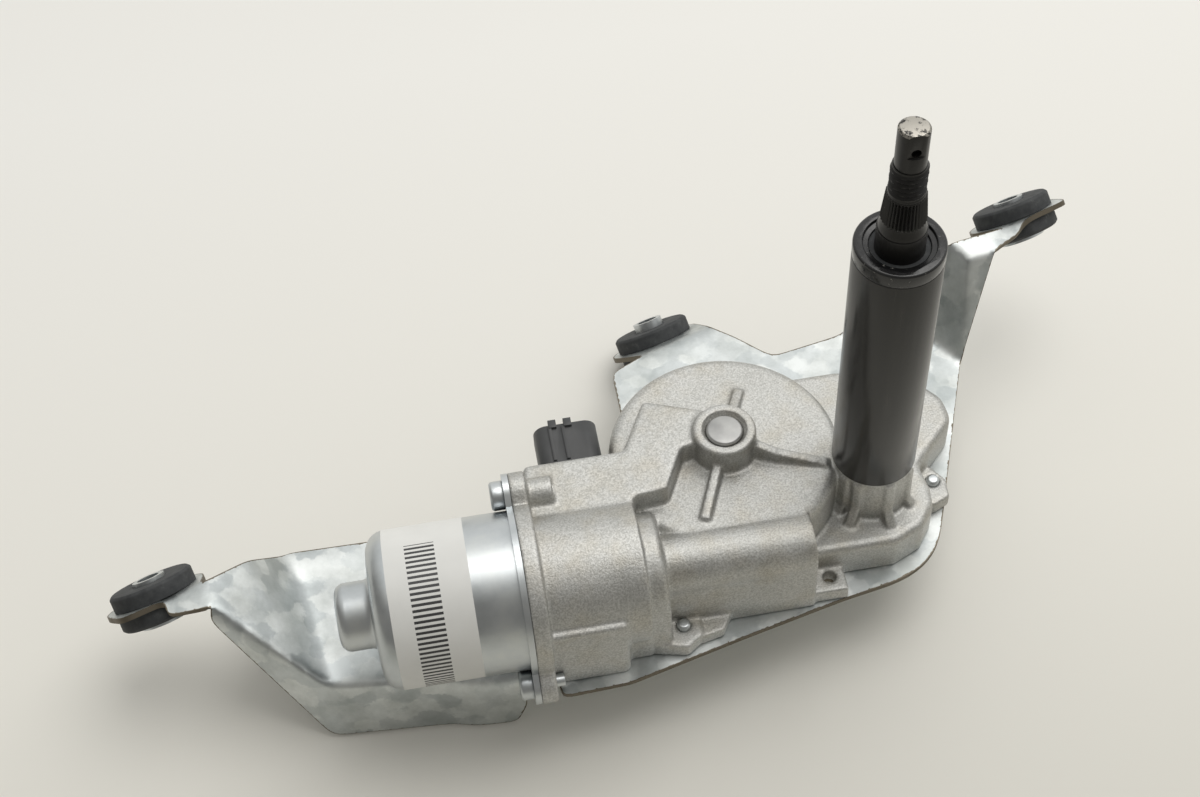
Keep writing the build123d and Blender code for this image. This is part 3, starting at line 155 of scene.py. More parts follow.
# %% Bead-blasted aluminium
def blasted_aluminium():
    """Aluminium, cast in a die and blasted with beads: dull, finely speckled, faintly stained."""
    mat, where = new_finish("aluminium, die-cast and bead-blasted")
    grain = add(mat, "TexNoise", Vector=where, Scale=1 / 0.55, Detail=3.0, Roughness=0.65)
    pits = add(mat, "TexNoise", Vector=where, Scale=1 / 1.5, Detail=4.0, Roughness=0.6)
    stain = add(mat, "TexNoise", Vector=where, Scale=1 / 24, Detail=5.0, Roughness=0.6)
    warm = add(mat, "TexNoise", Vector=where, Scale=1 / 9, Detail=3.0, Roughness=0.5)
    stained = [(0.32, "#BDBDBA"), (0.52, "#C7C7C4"), (0.72, "#D0D0CE")]
    tone = add(mat, "ValToRGB", {"stops": stained}, Fac=stain)
    blush = add(mat, "ValToRGB", {"stops": [(0.45, "#FFFFFF"), (0.75, "#F3ECDF")]}, Fac=warm)
    speck = add(mat, "ValToRGB", {"stops": [(0.36, "#B4B3B0"), (0.62, "#FFFFFF")]}, Fac=grain)
    tinted = add(mat, "MixRGB", {"blend_type": "MULTIPLY"}, Fac=0.6, Color1=tone, Color2=blush)
    base = add(mat, "MixRGB", {"blend_type": "MULTIPLY"}, Fac=0.6, Color1=tinted, Color2=speck)
    rough = add(mat, "MapRange", Value=stain, i1=0.3, i2=0.7, i3=0.46, i4=0.58)
    height = add(mat, "Math", {"operation": "MULTIPLY_ADD"}, i0=pits, i1=0.7, i2=grain)
    bump = add(mat, "Bump", Strength=0.7, Distance=0.16 * MM, Height=height)
    shader = add(mat, "BsdfPrincipled", Base_Color=base, Metallic=0.93, Roughness=rough,
                 Normal=bump)
    add(mat, "OutputMaterial", Surface=shader)
    return mat


# %% [markdown]
# ## Zinc on steel
# The can is drawn from zinc-plated strip: bright, a little blue, with faint draw lines round it.
# The bracket is pressed from hot-dip galvanised sheet, where zinc freezes into crystals a few
# millimetres across, and each crystal mirrors the room in its own tone. Along the sheared rim the
# zinc has chipped, so a thin brownish line shows there.


# %% Zinc plate
def zinc_plate():
    """Steel strip, plated with zinc and drawn: bright, with fine lines round the can."""
    mat, where = new_finish("steel, drawn and zinc-plated")
    cloud = add(mat, "TexNoise", Vector=where, Scale=1 / 14, Detail=5.0, Roughness=0.6)
    along_can = add(mat, "Mapping", Vector=where, Scale=(1 / 0.35, 1 / 9, 1 / 9))
    lines = add(mat, "TexNoise", Vector=along_can, Scale=1.0, Detail=3.0, Roughness=0.6)
    clouded = [(0.30, "#B4B9BB"), (0.50, "#C2C6C8"), (0.72, "#CDD0CE")]
    tone = add(mat, "ValToRGB", {"stops": clouded}, Fac=cloud)
    rough = add(mat, "MapRange", Value=cloud, i1=0.3, i2=0.7, i3=0.27, i4=0.38)
    bump = add(mat, "Bump", Strength=0.3, Distance=0.02 * MM, Height=lines)
    shader = add(mat, "BsdfPrincipled", Base_Color=tone, Metallic=1.0, Roughness=rough, Normal=bump)
    add(mat, "OutputMaterial", Surface=shader)
    return mat


# %% Galvanised sheet
def galvanised_sheet(name, dark, light, gloss):
    """Steel sheet, dipped in molten zinc: crystals of slightly different greys and gloss, bent by
    a slow noise, under a soft cloud of white bloom."""
    mat, where = new_finish(name)
    warp = add(mat, "TexNoise", Vector=where, Scale=1 / 5, Detail=4.0, Roughness=0.6)
    six_mm = add(mat, "Mapping", Vector=where, Scale=(1 / 6,) * 3)
    bent = add(mat, "MixRGB", {"blend_type": "LINEAR_LIGHT"}, Fac=0.55, Color1=six_mm,
               Color2=warp.outputs["Color"])
    crystal = add(mat, "TexVoronoi", {"feature": "SMOOTH_F1"}, Vector=bent, Scale=1.0,
                  Smoothness=0.30)
    grey = add(mat, "SeparateColor", Color=crystal.outputs["Color"])
    cloud = add(mat, "TexNoise", Vector=where, Scale=1 / 16, Detail=6.0, Roughness=0.65)
    scratch = add(mat, "TexNoise", Vector=where, Scale=1 / 1.2, Detail=4.0, Roughness=0.7)
    tone = add(mat, "ValToRGB", {"stops": [(0.1, dark), (0.9, light)]}, Fac=grey)
    bloom = add(mat, "ValToRGB", {"stops": [(0.38, "#CFD1CF"), (0.62, "#FFFFFF")]}, Fac=cloud)
    zinc_tone = add(mat, "MixRGB", {"blend_type": "MULTIPLY"}, Fac=0.7, Color1=tone, Color2=bloom)
    near_rim = add(mat, "Attribute", {"attribute_name": "rim"}).outputs["Fac"]
    chipped = add(mat, "Math", {"operation": "MULTIPLY_ADD"}, i0=scratch, i1=0.5, i2=near_rim)
    bare = add(mat, "MapRange", Value=chipped, i1=0.95, i2=1.0)
    base = add(mat, "MixRGB", Fac=bare, Color1=zinc_tone, Color2=colour("#6F685C"))
    rough = add(mat, "MapRange", Value=grey, i1=0.1, i2=0.9, i3=gloss, i4=gloss + 0.12)
    height = add(mat, "Math", {"operation": "MULTIPLY_ADD"}, i0=scratch, i1=0.25, i2=grey)
    bump = add(mat, "Bump", Strength=0.30, Distance=0.10 * MM, Height=height)
    shader = add(mat, "BsdfPrincipled", Base_Color=base, Metallic=1.0, Roughness=rough, Normal=bump)
    add(mat, "OutputMaterial", Surface=shader)
    return mat


# %% [markdown]
# ## Black finishes
# The sleeve is steel with a satin black enamel, the cap is glossy moulded plastic with a few pale
# chips, and the spindle is black oxide that has worn to bare steel where nuts and arms have
# rubbed it. The connector and the grommets are duller: they scatter the light from a fine grain.


# %% Enamel and oxide
def satin_enamel():
    """Steel tube, dipped in enamel: deep black and smooth, with faint streaks along the tube."""
    mat, where = new_finish("steel tube, satin black enamel")
    smear = add(mat, "TexNoise", Vector=where, Scale=1 / 18, Detail=4.0, Roughness=0.6)
    along_tube = add(mat, "Mapping", Vector=where, Scale=(1 / 1.4, 1 / 1.4, 1 / 30))
    streak = add(mat, "TexNoise", Vector=along_tube, Scale=1.0, Detail=4.0, Roughness=0.6)
    peel = add(mat, "TexNoise", Vector=where, Scale=1 / 0.9, Detail=2.0)
    streaked = [(0.40, "#1E1D1C"), (0.66, "#272624"), (0.80, "#393834")]
    tone = add(mat, "ValToRGB", {"stops": streaked}, Fac=streak)
    rough = add(mat, "MapRange", Value=smear, i1=0.3, i2=0.7, i3=0.17, i4=0.27)
    bump = add(mat, "Bump", Strength=0.06, Distance=0.03 * MM, Height=peel)
    shader = add(mat, "BsdfPrincipled", Base_Color=tone, Metallic=0.0, Roughness=rough, IOR=1.55,
                 Normal=bump)
    add(mat, "OutputMaterial", Surface=shader)
    return mat


def worn_black_oxide(name, worn_from):
    """Steel, blackened in hot salt: near black with a low gloss, and bare where it is rubbed."""
    mat, where = new_finish(name)
    wear = add(mat, "TexNoise", Vector=where, Scale=1 / 3.2, Detail=7.0, Roughness=0.75)
    worn = add(mat, "MapRange", Value=wear, i1=worn_from, i2=worn_from + 0.06)
    tone = add(mat, "MixRGB", Fac=worn, Color1=colour("#201F1E"), Color2=colour("#A8A49C"))
    metal = add(mat, "MapRange", Value=worn, i3=0.35, i4=1.0)
    grit = add(mat, "TexNoise", Vector=where, Scale=1 / 0.6, Detail=3.0)
    bump = add(mat, "Bump", Strength=0.35, Distance=0.05 * MM, Height=grit)
    shader = add(mat, "BsdfPrincipled", Base_Color=tone, Metallic=metal, Roughness=0.33,
                 Normal=bump)
    add(mat, "OutputMaterial", Surface=shader)
    return mat


# %% Plastics and rubber
def glossy_plastic():
    """Polyamide, moulded in a polished tool: a sharp shine, broken by a few pale chips."""
    mat, where = new_finish("PA66, moulded, glossy black")
    chips = add(mat, "TexNoise", Vector=where, Scale=1 / 1.6, Detail=5.0, Roughness=0.75)
    tone = add(mat, "ValToRGB", {"stops": [(0.64, "#141415"), (0.67, "#8F8D88")]}, Fac=chips)
    rough = add(mat, "MapRange", Value=chips, i1=0.45, i2=0.70, i3=0.16, i4=0.34)
    shader = add(mat, "BsdfPrincipled", Base_Color=tone, Roughness=rough, IOR=1.55)
    add(mat, "OutputMaterial", Surface=shader)
    return mat


def matte_plastic(name, code, gloss):
    """A plastic, moulded in an etched tool: even and dull, with a fine texture."""
    mat, where = new_finish(name)
    grain = add(mat, "TexNoise", Vector=where, Scale=1 / 0.5, Detail=3.0)
    cloud = add(mat, "TexNoise", Vector=where, Scale=1 / 9, Detail=4.0)
    lighter = tuple(min(1.0, 1.5 * c) for c in colour(code)[:3]) + (1.0,)
    tone = add(mat, "ValToRGB", {"stops": [(0.35, code), (0.75, lighter)]}, Fac=cloud)
    bump = add(mat, "Bump", Strength=0.3, Distance=0.03 * MM, Height=grain)
    shader = add(mat, "BsdfPrincipled", Base_Color=tone, Roughness=gloss, IOR=1.48, Normal=bump)
    add(mat, "OutputMaterial", Surface=shader)
    return mat


def moulded_rubber():
    """EPDM rubber, moulded: soft black that dust turns grey in patches."""
    mat, where = new_finish("EPDM rubber, moulded")
    dust = add(mat, "TexNoise", Vector=where, Scale=1 / 4, Detail=6.0, Roughness=0.65)
    grain = add(mat, "TexNoise", Vector=where, Scale=1 / 0.45, Detail=3.0)
    dusted = [(0.40, "#2E3032"), (0.62, "#3E4041"), (0.78, "#5A5C5B")]
    tone = add(mat, "ValToRGB", {"stops": dusted}, Fac=dust)
    bump = add(mat, "Bump", Strength=0.5, Distance=0.06 * MM, Height=grain)
    shader = add(mat, "BsdfPrincipled", Base_Color=tone, Roughness=0.74, IOR=1.50, Normal=bump)
    add(mat, "OutputMaterial", Surface=shader)
    return mat


# %% [markdown]
# ## Inner metals and the label
# Ground steel, sintered bronze, copper and the rest are inside. They get a plain metal finish
# with a soft grain, from one function, because a reader who opens the housing still meets them.
# The label is white film with one band of evenly ruled lines. They are drawn by angle round the
# can, so that they stay even on its curve.


# %% Inner metals
def grained_metal(name, dark, light, gloss, grain_size=0.5):
    """A metal, ground, pressed or drawn: one grey or yellow with a soft, fine grain."""
    mat, where = new_finish(name)
    grain = add(mat, "TexNoise", Vector=where, Scale=1 / grain_size, Detail=3.0, Roughness=0.6)
    cloud = add(mat, "TexNoise", Vector=where, Scale=1 / (12 * grain_size), Detail=3.0)
    tone = add(mat, "ValToRGB", {"stops": [(0.35, dark), (0.70, light)]}, Fac=cloud)
    bump = add(mat, "Bump", Strength=0.3, Distance=0.03 * MM, Height=grain)
    shader = add(mat, "BsdfPrincipled", Base_Color=tone, Metallic=1.0, Roughness=gloss, Normal=bump)
    add(mat, "OutputMaterial", Surface=shader)
    return mat


# %% Label, in millimetres
motor_y, motor_z = -21.7, -9.0
can_radius = 23.3
line_pitch = 1.6
band_middle, band_width = -137.0, 8.5
band_turn, band_reach = math.radians(36), math.radians(69)
print("band of lines:", round(2 * band_reach * can_radius, 1), "mm round the can")


def printed_film():
    """Polyester film, printed with even lines: an even, slightly shiny white."""
    mat, where = new_finish("polyester film, white, printed with even lines")
    place = add(mat, "SeparateXYZ", Vector=where)
    across = add(mat, "Math", {"operation": "SUBTRACT"}, i0=motor_y, i1=place.outputs["Y"])
    up = add(mat, "Math", {"operation": "SUBTRACT"}, i0=place.outputs["Z"], i1=motor_z)
    turn = add(mat, "Math", {"operation": "ARCTAN2"}, i0=up, i1=across)
    rule = add(mat, "Math", {"operation": "MULTIPLY"}, i0=turn, i1=can_radius / line_pitch)
    share = add(mat, "Math", {"operation": "FRACT"}, i0=rule)
    line = add(mat, "Math", {"operation": "GREATER_THAN"}, i0=share, i1=0.5)
    offset = add(mat, "Math", {"operation": "SUBTRACT"}, i0=place.outputs["X"], i1=band_middle)
    distance = add(mat, "Math", {"operation": "ABSOLUTE"}, i0=offset)
    inside = add(mat, "Math", {"operation": "LESS_THAN"}, i0=distance, i1=band_width / 2)
    from_middle = add(mat, "Math", {"operation": "SUBTRACT"}, i0=turn, i1=band_turn)
    reach = add(mat, "Math", {"operation": "ABSOLUTE"}, i0=from_middle)
    covered = add(mat, "Math", {"operation": "LESS_THAN"}, i0=reach, i1=band_reach)
    in_band = add(mat, "Math", {"operation": "MULTIPLY"}, i0=line, i1=inside)
    printed = add(mat, "Math", {"operation": "MULTIPLY"}, i0=in_band, i1=covered)
    cloud = add(mat, "TexNoise", Vector=where, Scale=1 / 20, Detail=3.0)
    white = add(mat, "ValToRGB", {"stops": [(0.35, "#D3D3D0"), (0.70, "#DCDCD9")]}, Fac=cloud)
    tone = add(mat, "MixRGB", Fac=printed, Color1=white, Color2=colour("#3A3A3B"))
    shader = add(mat, "BsdfPrincipled", Base_Color=tone, Roughness=0.42, IOR=1.46)
    add(mat, "OutputMaterial", Surface=shader)
    return mat


# %% [markdown]
# ## The list of finishes
# Each solid names its material slot, and every slot gets one finish. The sheared edge and the
# rubbed oxide are second finishes on pieces that are modelled again below.

# %% Make the finishes
cast = blasted_aluminium()
zinc = zinc_plate()
galvanised = galvanised_sheet("steel sheet, hot-dip galvanised", "#BCC1C2", "#DBDEDD", 0.38)
cut_edge = galvanised_sheet("steel sheet, sheared edge", "#7D756A", "#A39B8E", 0.5)
enamel = satin_enamel()
gloss_black = glossy_plastic()
black_oxide = worn_black_oxide("steel, black oxide, worn", 0.66)
rubbed_oxide = worn_black_oxide("steel, black oxide, rubbed bare", 0.44)
rubber = moulded_rubber()
connector_plastic = matte_plastic("PBT, moulded, dark grey", "#38393A", 0.46)
acetal = matte_plastic("acetal, moulded, natural white", "#CFCDC4", 0.38)
board = matte_plastic("laminate board, pressed", "#6A4A2E", 0.55)
carbon = matte_plastic("carbon brush, pressed", "#1C1C1D", 0.6)
label_film = printed_film()
ground = grained_metal("steel, ground", "#959594", "#ABABA9", 0.42)
spring = grained_metal("spring steel, oiled", "#4A4B4D", "#6B6C6E", 0.35)
laminations = grained_metal("steel laminations, varnished", "#55524E", "#777370", 0.45)
ferrite = grained_metal("ferrite, sintered", "#26272A", "#3A3B3E", 0.6)
bronze = grained_metal("bronze, sintered", "#8C6A3D", "#A98451", 0.5, 0.3)
brass = grained_metal("brass strip, stamped", "#B3924F", "#CFB06C", 0.3)
copper = grained_metal("copper wire, enamelled", "#A2522F", "#C26F45", 0.32)
print("finishes:", len(bpy.data.materials))

# %% Give each node its finish
finish_of = {
    "die_cast_aluminium": cast, "black_enamelled_steel": enamel, "black_plastic_cap": gloss_black,
    "black_plastic": connector_plastic, "black_oxide_steel": black_oxide, "zinc_plated_steel": zinc,
    "galvanised_steel": galvanised, "ground_steel": ground, "spring_steel": spring,
    "laminated_steel": laminations, "ferrite": ferrite, "sintered_bronze": bronze,
    "brass_strip": brass, "copper": copper, "carbon": carbon, "acetal": acetal,
    "laminate_board": board, "rubber": rubber, "label_paper": label_film}
for node, part in records.items():
    piece = nodes[node]
    piece.data.materials.clear()
    piece.data.materials.append(finish_of[part["material_slot"]])
print("nodes with a finish:", len(records))

# %% [markdown]
# ## Helpers for pieces
# A piece that is modelled again starts from a copy of its solid. The copy is merged first, because
# a solid comes in as loose triangles, and its flat faces are made whole, so that a bevel finds
# clean edges. At the end the new piece takes the place of the solid and rides on its body.


# %% Helpers for pieces
merge_distance = 0.002 * MM


def merged_copy(node, flat_angle=1.0):
    shape = bmesh.new()
    shape.from_mesh(nodes[node].data)
    bmesh.ops.remove_doubles(shape, verts=shape.verts, dist=merge_distance)
    bmesh.ops.dissolve_limit(shape, angle_limit=math.radians(flat_angle), verts=shape.verts,
                             edges=shape.edges)
    return shape


def sharp_edges(shape, degrees):
    return [edge for edge in shape.edges if len(edge.link_faces) == 2
            and edge.calc_face_angle(0) > math.radians(degrees)]


def bevel(shape, edges, width, segments=2):
    bmesh.ops.bevel(shape, geom=edges, offset=width, offset_type="OFFSET", segments=segments,
                    affect="EDGES", profile=0.5, material=-1, clamp_overlap=True)


def cut_level(shape, height):
    """Cuts every face that crosses a height, and keeps both sides."""
    everything = shape.verts[:] + shape.edges[:] + shape.faces[:]
    bmesh.ops.bisect_plane(shape, geom=everything, plane_co=(0, 0, height), plane_no=(0, 0, 1))


def ease(value, start, end):
    """Rises smoothly from 0 to 1 between two places."""
    share = min(1.0, max(0.0, (value - start) / (end - start)))
    return share * share * (3 - 2 * share)


def finish_piece(name, shape, materials, body, slot, *replaced, smooth=35):
    """Makes the object, puts it on its body and lets it stand for the nodes it replaces."""
    mesh = bpy.data.meshes.new(name)
    shape.to_mesh(mesh)
    shape.free()
    piece = bpy.data.objects.new(name, mesh)
    put_in_scene(piece)
    for material in materials:
        mesh.materials.append(material)
    mesh.shade_smooth()
    mesh.set_sharp_from_angle(angle=math.radians(smooth))
    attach(piece, body)
    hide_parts(*replaced)
    print(name, len(mesh.polygons), "faces")
    return piece


# %% [markdown]
# ## Bracket
# The bracket is one pressing of 1.6 mm sheet. A press bends it over rounded tools, so no fold is
# sharp, and shears the rim, which leaves a thin brownish edge without zinc. Only the upper skin of
# the solid is kept. The search starts at the largest level face and runs on over every fold, but
# not over the narrow faces of the rim. The limits of level and fold are cosines.

# %% Upper skin of the sheet
sheet = 1.6 * MM
rim_width = 0.9 * MM
nearly_level, tightest_fold = 0.9, 0.25
shape = merged_copy("mounting_bracket", flat_angle=0.4)
level_faces = (face for face in shape.faces if face.normal.z > nearly_level)
seed = max(level_faces, key=lambda face: face.calc_area())
rim = {face for face in shape.faces if 2 * face.calc_area() / face.calc_perimeter() < rim_width}
upper = {seed}
edge_of_search = [seed]
while edge_of_search:
    face = edge_of_search.pop()
    beside = {other for edge in face.edges for other in edge.link_faces} - upper - rim
    reached = [other for other in beside if face.normal.dot(other.normal) > tightest_fold]
    upper.update(reached)
    edge_of_search += reached
print("faces:", len(shape.faces), "rim:", len(rim), "upper skin:", len(upper))
below = [face for face in shape.faces if face not in upper]
bmesh.ops.delete(shape, geom=below, context="FACES")

# %% [markdown]
# The skin is cut into a fine net, as even as its outline allows, so that it can be bent softly.
# Slivers go first, because a sheet's thickness can't be laid on them later.

# %% Fine net
net = 1.6 * MM
longest = net * 1.4
sliver = 0.25 * MM
shortest = 0.2 * MM
flat = 0.01
most_rounds = 7
bmesh.ops.remove_doubles(shape, verts=shape.verts, dist=sliver)
bmesh.ops.triangulate(shape, faces=shape.faces)
for step in range(most_rounds):
    long_edges = [edge for edge in shape.edges if edge.calc_length() > longest]
    if not long_edges:
        break
    bmesh.ops.subdivide_edges(shape, edges=long_edges, cuts=1)
    bmesh.ops.triangulate(shape, faces=shape.faces)
    inside_flats = [edge for edge in shape.edges
                    if len(edge.link_faces) == 2 and edge.calc_face_angle(1) < flat]
    bmesh.ops.beautify_fill(shape, faces=shape.faces, edges=inside_flats)
bmesh.ops.dissolve_degenerate(shape, edges=shape.edges, dist=shortest)
print("net:", len(shape.verts), "corners")

# %% [markdown]
# Two small steps are pressed into the sheet: a crease across the low panel, and a joggle where
# the front wall steps back. Each is a smooth rise over a few millimetres. Sizes are in millimetres.

# %% Pressed steps
low_panel_z, on_panel = -35.4, 0.2
crease_rise, crease_y, crease_x = 1.2, (11.5, 14.5), (104, 108)
joggle_depth, joggle_x, joggle_z = 1.5, (-133.5, -131.5), (36, 40)
front_wall_y, front_wall_from_x = -26, -172
for corner in shape.verts:
    x, y, z = corner.co / MM
    if abs(z - low_panel_z) < on_panel:
        corner.co.z += crease_rise * MM * ease(y, *crease_y) * ease(-x, *crease_x)
    if y < front_wall_y and z < -joggle_z[0] and x > front_wall_from_x:
        corner.co.y -= joggle_depth * MM * ease(x, *joggle_x) * ease(-z, *joggle_z)
print("crease:", crease_rise, "mm high, joggle:", joggle_depth, "mm deep")

# %% [markdown]
# The outline is smoothed along itself and the net inside it from all sides, which turns the folds
# round while the sheet keeps its outline.

# %% Relax the net
rim_rounds, net_rounds = 4, 12
rim_chain = [corner for corner in shape.verts if corner.is_boundary]
for step in range(rim_rounds):
    moved = {}
    for corner in rim_chain:
        beside = [edge.other_vert(corner).co for edge in corner.link_edges if edge.is_boundary]
        moved[corner] = corner.co * 0.5 + sum(beside, Vector()) * (0.5 / len(beside))
    for corner, place in moved.items():
        corner.co = place
inner = [corner for corner in shape.verts if not corner.is_boundary]
for step in range(net_rounds):
    bmesh.ops.smooth_vert(shape, verts=inner, factor=0.5, use_axis_x=True, use_axis_y=True,
                          use_axis_z=True)
print("corners on the rim:", len(rim_chain), "inside it:", len(inner))

# %% [markdown]
# Solidify gives the skin its thickness back, downwards, and puts the bare finish on the rim. The
# rim's edges are sharp, or the light on the sheared edge would bleed into the skin. An attribute
# tells the zinc finish where the rim is.

# %% Thickness and rim
bmesh.ops.recalc_face_normals(shape, faces=shape.faces)
if sum(face.normal.z * face.calc_area() for face in shape.faces) < 0:
    bmesh.ops.reverse_faces(shape, faces=shape.faces)
rim_layer = shape.verts.layers.float.new("rim")
for corner in shape.verts:
    corner[rim_layer] = 1.0 if corner.is_boundary else 0.0
bracket = finish_piece("bracket_pressing", shape, [galvanised, cut_edge], "housing",
                       "galvanised_steel", "mounting_bracket")
on_rim = bracket.data.attributes["rim"].data
for edge in bracket.data.edges:
    if all(on_rim[corner].value > 0.5 for corner in edge.vertices):
        edge.use_edge_sharp = True
wall = bracket.modifiers.new("sheet", "SOLIDIFY")
wall.thickness = sheet
wall.offset = -1.0
wall.use_even_offset = False
wall.material_offset_rim = 1

# %% [markdown]
# ## Casting
# Molten aluminium can't fill a sharp corner, and blasting rounds what is left, so every edge and
# every inner corner of the housing is soft. Bevelling hundreds of such edges one by one would
# break at the places where walls run into each other. A copy is built anew from small cells
# instead, which melts the walls into one skin, and is then smoothed and thinned out again.

# %% Casting
cell = 0.55 * MM
melt_rounds = 5
share_kept = 0.36
shape = bmesh.new()
shape.from_mesh(nodes["gear_housing"].data)
bmesh.ops.remove_doubles(shape, verts=shape.verts, dist=merge_distance)
source_mesh = bpy.data.meshes.new("cast_source")
shape.to_mesh(source_mesh)
shape.free()
source = bpy.data.objects.new("cast_source", source_mesh)
put_in_scene(source)
cells = source.modifiers.new("cells", "REMESH")
cells.mode = "VOXEL"
cells.voxel_size = cell
relax = source.modifiers.new("relax", "SMOOTH")
relax.factor = 0.5
relax.iterations = melt_rounds
thin = source.modifiers.new("thin", "DECIMATE")
thin.ratio = share_kept
bpy.context.view_layer.update()
depsgraph = bpy.context.evaluated_depsgraph_get()
melted = bpy.data.meshes.new_from_object(source.evaluated_get(depsgraph))
bpy.data.objects.remove(source)
bpy.data.meshes.remove(source_mesh)
shape = bmesh.new()
shape.from_mesh(melted)
bpy.data.meshes.remove(melted)
finish_piece("housing_casting", shape, [cast], "housing", "die_cast_aluminium", "gear_housing",
             smooth=180)

# %% [markdown]
# ## Spindle end
# The nose of the spindle holds the wiper arm. A tapered knurl is rolled into it, then an M10
# thread, and a flatted tip with a cross hole follows. The knurl and the thread are one skin: a
# cone is cut into many rings, and each point then goes in or out to a radius that depends on its
# angle and height, so a ridge costs no more than a few points.

# %% Sizes of the nose, in millimetres
cone_from, knurl_from, knurl_to, thread_to = 99.5, 103.0, 112.3, 122.4
cone_radius, cone_taper = 6.5, 1.15
foot_step = 0.45
ridges, knurl_depth, knurl_fade = 36, 0.60, 0.6
thread_radius, thread_pitch, thread_depth = 4.98, 1.5, 0.80
thread_starts, thread_full, thread_fade = 0.4, 1.6, 1.2
end_step, end_length = 0.6, 0.9
ring_gap = 0.2
tip_from, rubbed_from = 122.6, 134.4
print("nose:", round(thread_to - cone_from, 1), "mm long, with", ridges, "ridges")


# %% Knurl and thread
def wave(value):
    """A triangle wave between 0 and 1."""
    share = value % 1.0
    return 1 - abs(2 * share - 1)


def nose_radius(turn, height):
    """The radius of the nose at a share of a full turn and a height."""
    if height < knurl_to:
        share = (height - cone_from) / (knurl_to - cone_from)
        cone = cone_radius - cone_taper * share
        if height < knurl_from:
            return cone - foot_step * ease(height, cone_from, knurl_from)
        depth = knurl_depth * ease(-height, -knurl_to, knurl_fade - knurl_to)
        return cone - depth * wave(ridges * turn)
    depth = thread_depth * ease(height, knurl_to + thread_starts, knurl_to + thread_full)
    depth *= ease(-height, -thread_to, thread_fade - thread_to)
    narrower = end_step * ease(height, thread_to - end_length, thread_to)
    return thread_radius - depth * wave(height / thread_pitch - turn) - narrower


# %% [markdown]
# The plain nose of the solid is cut out first, and its two ends are closed. The tip's edges are
# broken, and its top gets the rubbed finish, because nuts and tools wear it bare.

# %% Cut the plain nose out
margin = 0.1
tip_bevel, tip_angle = 0.45 * MM, 40
most_sides = 400
shape = merged_copy("output_spindle")
cut_level(shape, (cone_from + margin) * MM)
cut_level(shape, (thread_to - margin) * MM)
middle = [face for face in shape.faces
          if cone_from < face.calc_center_median().z / MM < thread_to + margin / 2]
bmesh.ops.delete(shape, geom=middle, context="FACES")
open_edges = [edge for edge in shape.edges if edge.is_boundary]
bmesh.ops.holes_fill(shape, edges=open_edges, sides=most_sides)
tip_edges = [edge for edge in sharp_edges(shape, tip_angle)
             if min(end.co.z for end in edge.verts) > tip_from * MM]
bevel(shape, tip_edges, tip_bevel, 3)
for face in shape.faces:
    face.material_index = 1 if face.calc_center_median().z > rubbed_from * MM else 0
print("faces of the cut spindle:", len(shape.faces))

# %% Make the new nose
rings = int((thread_to - cone_from) / ring_gap)
nose_length = rings * ring_gap
nose = bmesh.new()
bmesh.ops.create_cone(nose, cap_ends=True, segments=4 * ridges, radius1=cone_radius * MM,
                      radius2=thread_radius * MM, depth=nose_length * MM)
upright = [edge for edge in nose.edges if abs(edge.verts[0].co.z - edge.verts[1].co.z) > 1 * MM]
bmesh.ops.subdivide_edges(nose, edges=upright, cuts=rings - 1, use_grid_fill=True)
for corner in nose.verts:
    turn = math.atan2(corner.co.y, corner.co.x) / math.tau
    height = cone_from + nose_length / 2 + corner.co.z / MM
    radius = nose_radius(turn, height)
    place = radius * math.cos(math.tau * turn), radius * math.sin(math.tau * turn), height
    corner.co = Vector(place) * MM
print("corners of the nose:", len(nose.verts), "mm3:", round(nose.calc_volume() / MM ** 3, 1))
nose_mesh = bpy.data.meshes.new("nose")
nose.to_mesh(nose_mesh)
nose.free()
shape.from_mesh(nose_mesh)
bpy.data.meshes.remove(nose_mesh)
finish_piece("spindle_with_nose", shape, [black_oxide, rubbed_oxide], "spindle",
             "black_oxide_steel", "output_spindle", smooth=32)

# %% [markdown]
# ## Small pieces
# Moulded and turned pieces have broken edges too. Their copies are bevelled by a width that suits
# how each one is made: a polished mould leaves nearly half a millimetre, and a cutter or a rubber
# mould about a quarter.

# %% Small pieces
# Each has its finish, the bevel's width in mm and segments, and the angle that counts as an edge.
small_pieces = {
    "sleeve_cap": (gloss_black, 0.45, 3, 40), "connector_socket": (connector_plastic, 0.35, 2, 40),
    "left_grommet": (rubber, 0.25, 3, 25), "middle_grommet": (rubber, 0.25, 3, 25),
    "right_grommet": (rubber, 0.25, 3, 25), "motor_screws": (zinc, 0.30, 3, 40),
    "cover_screws": (zinc, 0.25, 2, 40), "wheel_pin": (ground, 0.30, 2, 40),
    "tower_sleeve": (enamel, 0.25, 2, 40)}
for node, (material, width, segments, angle) in small_pieces.items():
    shape = merged_copy(node, flat_angle=2.0)
    bevel(shape, sharp_edges(shape, angle), width * MM, segments)
    finish_piece(node + "_finished", shape, [material], "housing", records[node]["material_slot"],
                 node)

# %% [markdown]
# ## Motor can
# The can is deep-drawn: a punch pushes a disc of strip into a die in a few steps, and the metal
# flows round every corner. Where the bearing cup meets the end it leaves a wide hollow curve.

# %% Motor can
cup_radius, cup_foot_x = (9.0, 11.0), (-154.5, -151.5)
hollow_width = 2.2 * MM
shape = merged_copy("motor_can", flat_angle=2.0)
hollow = []
for edge in sharp_edges(shape, 30):
    places = [end.co / MM for end in edge.verts]
    radii = [math.hypot(place.y - motor_y, place.z - motor_z) for place in places]
    if (all(cup_radius[0] < radius < cup_radius[1] for radius in radii)
            and all(cup_foot_x[0] < place.x < cup_foot_x[1] for place in places)):
        hollow.append(edge)
print("edges round the cup:", len(hollow))
bevel(shape, hollow, hollow_width, 6)
finish_piece("drawn_can", shape, [zinc], "housing", records["motor_can"]["material_slot"],
             "motor_can", smooth=30)

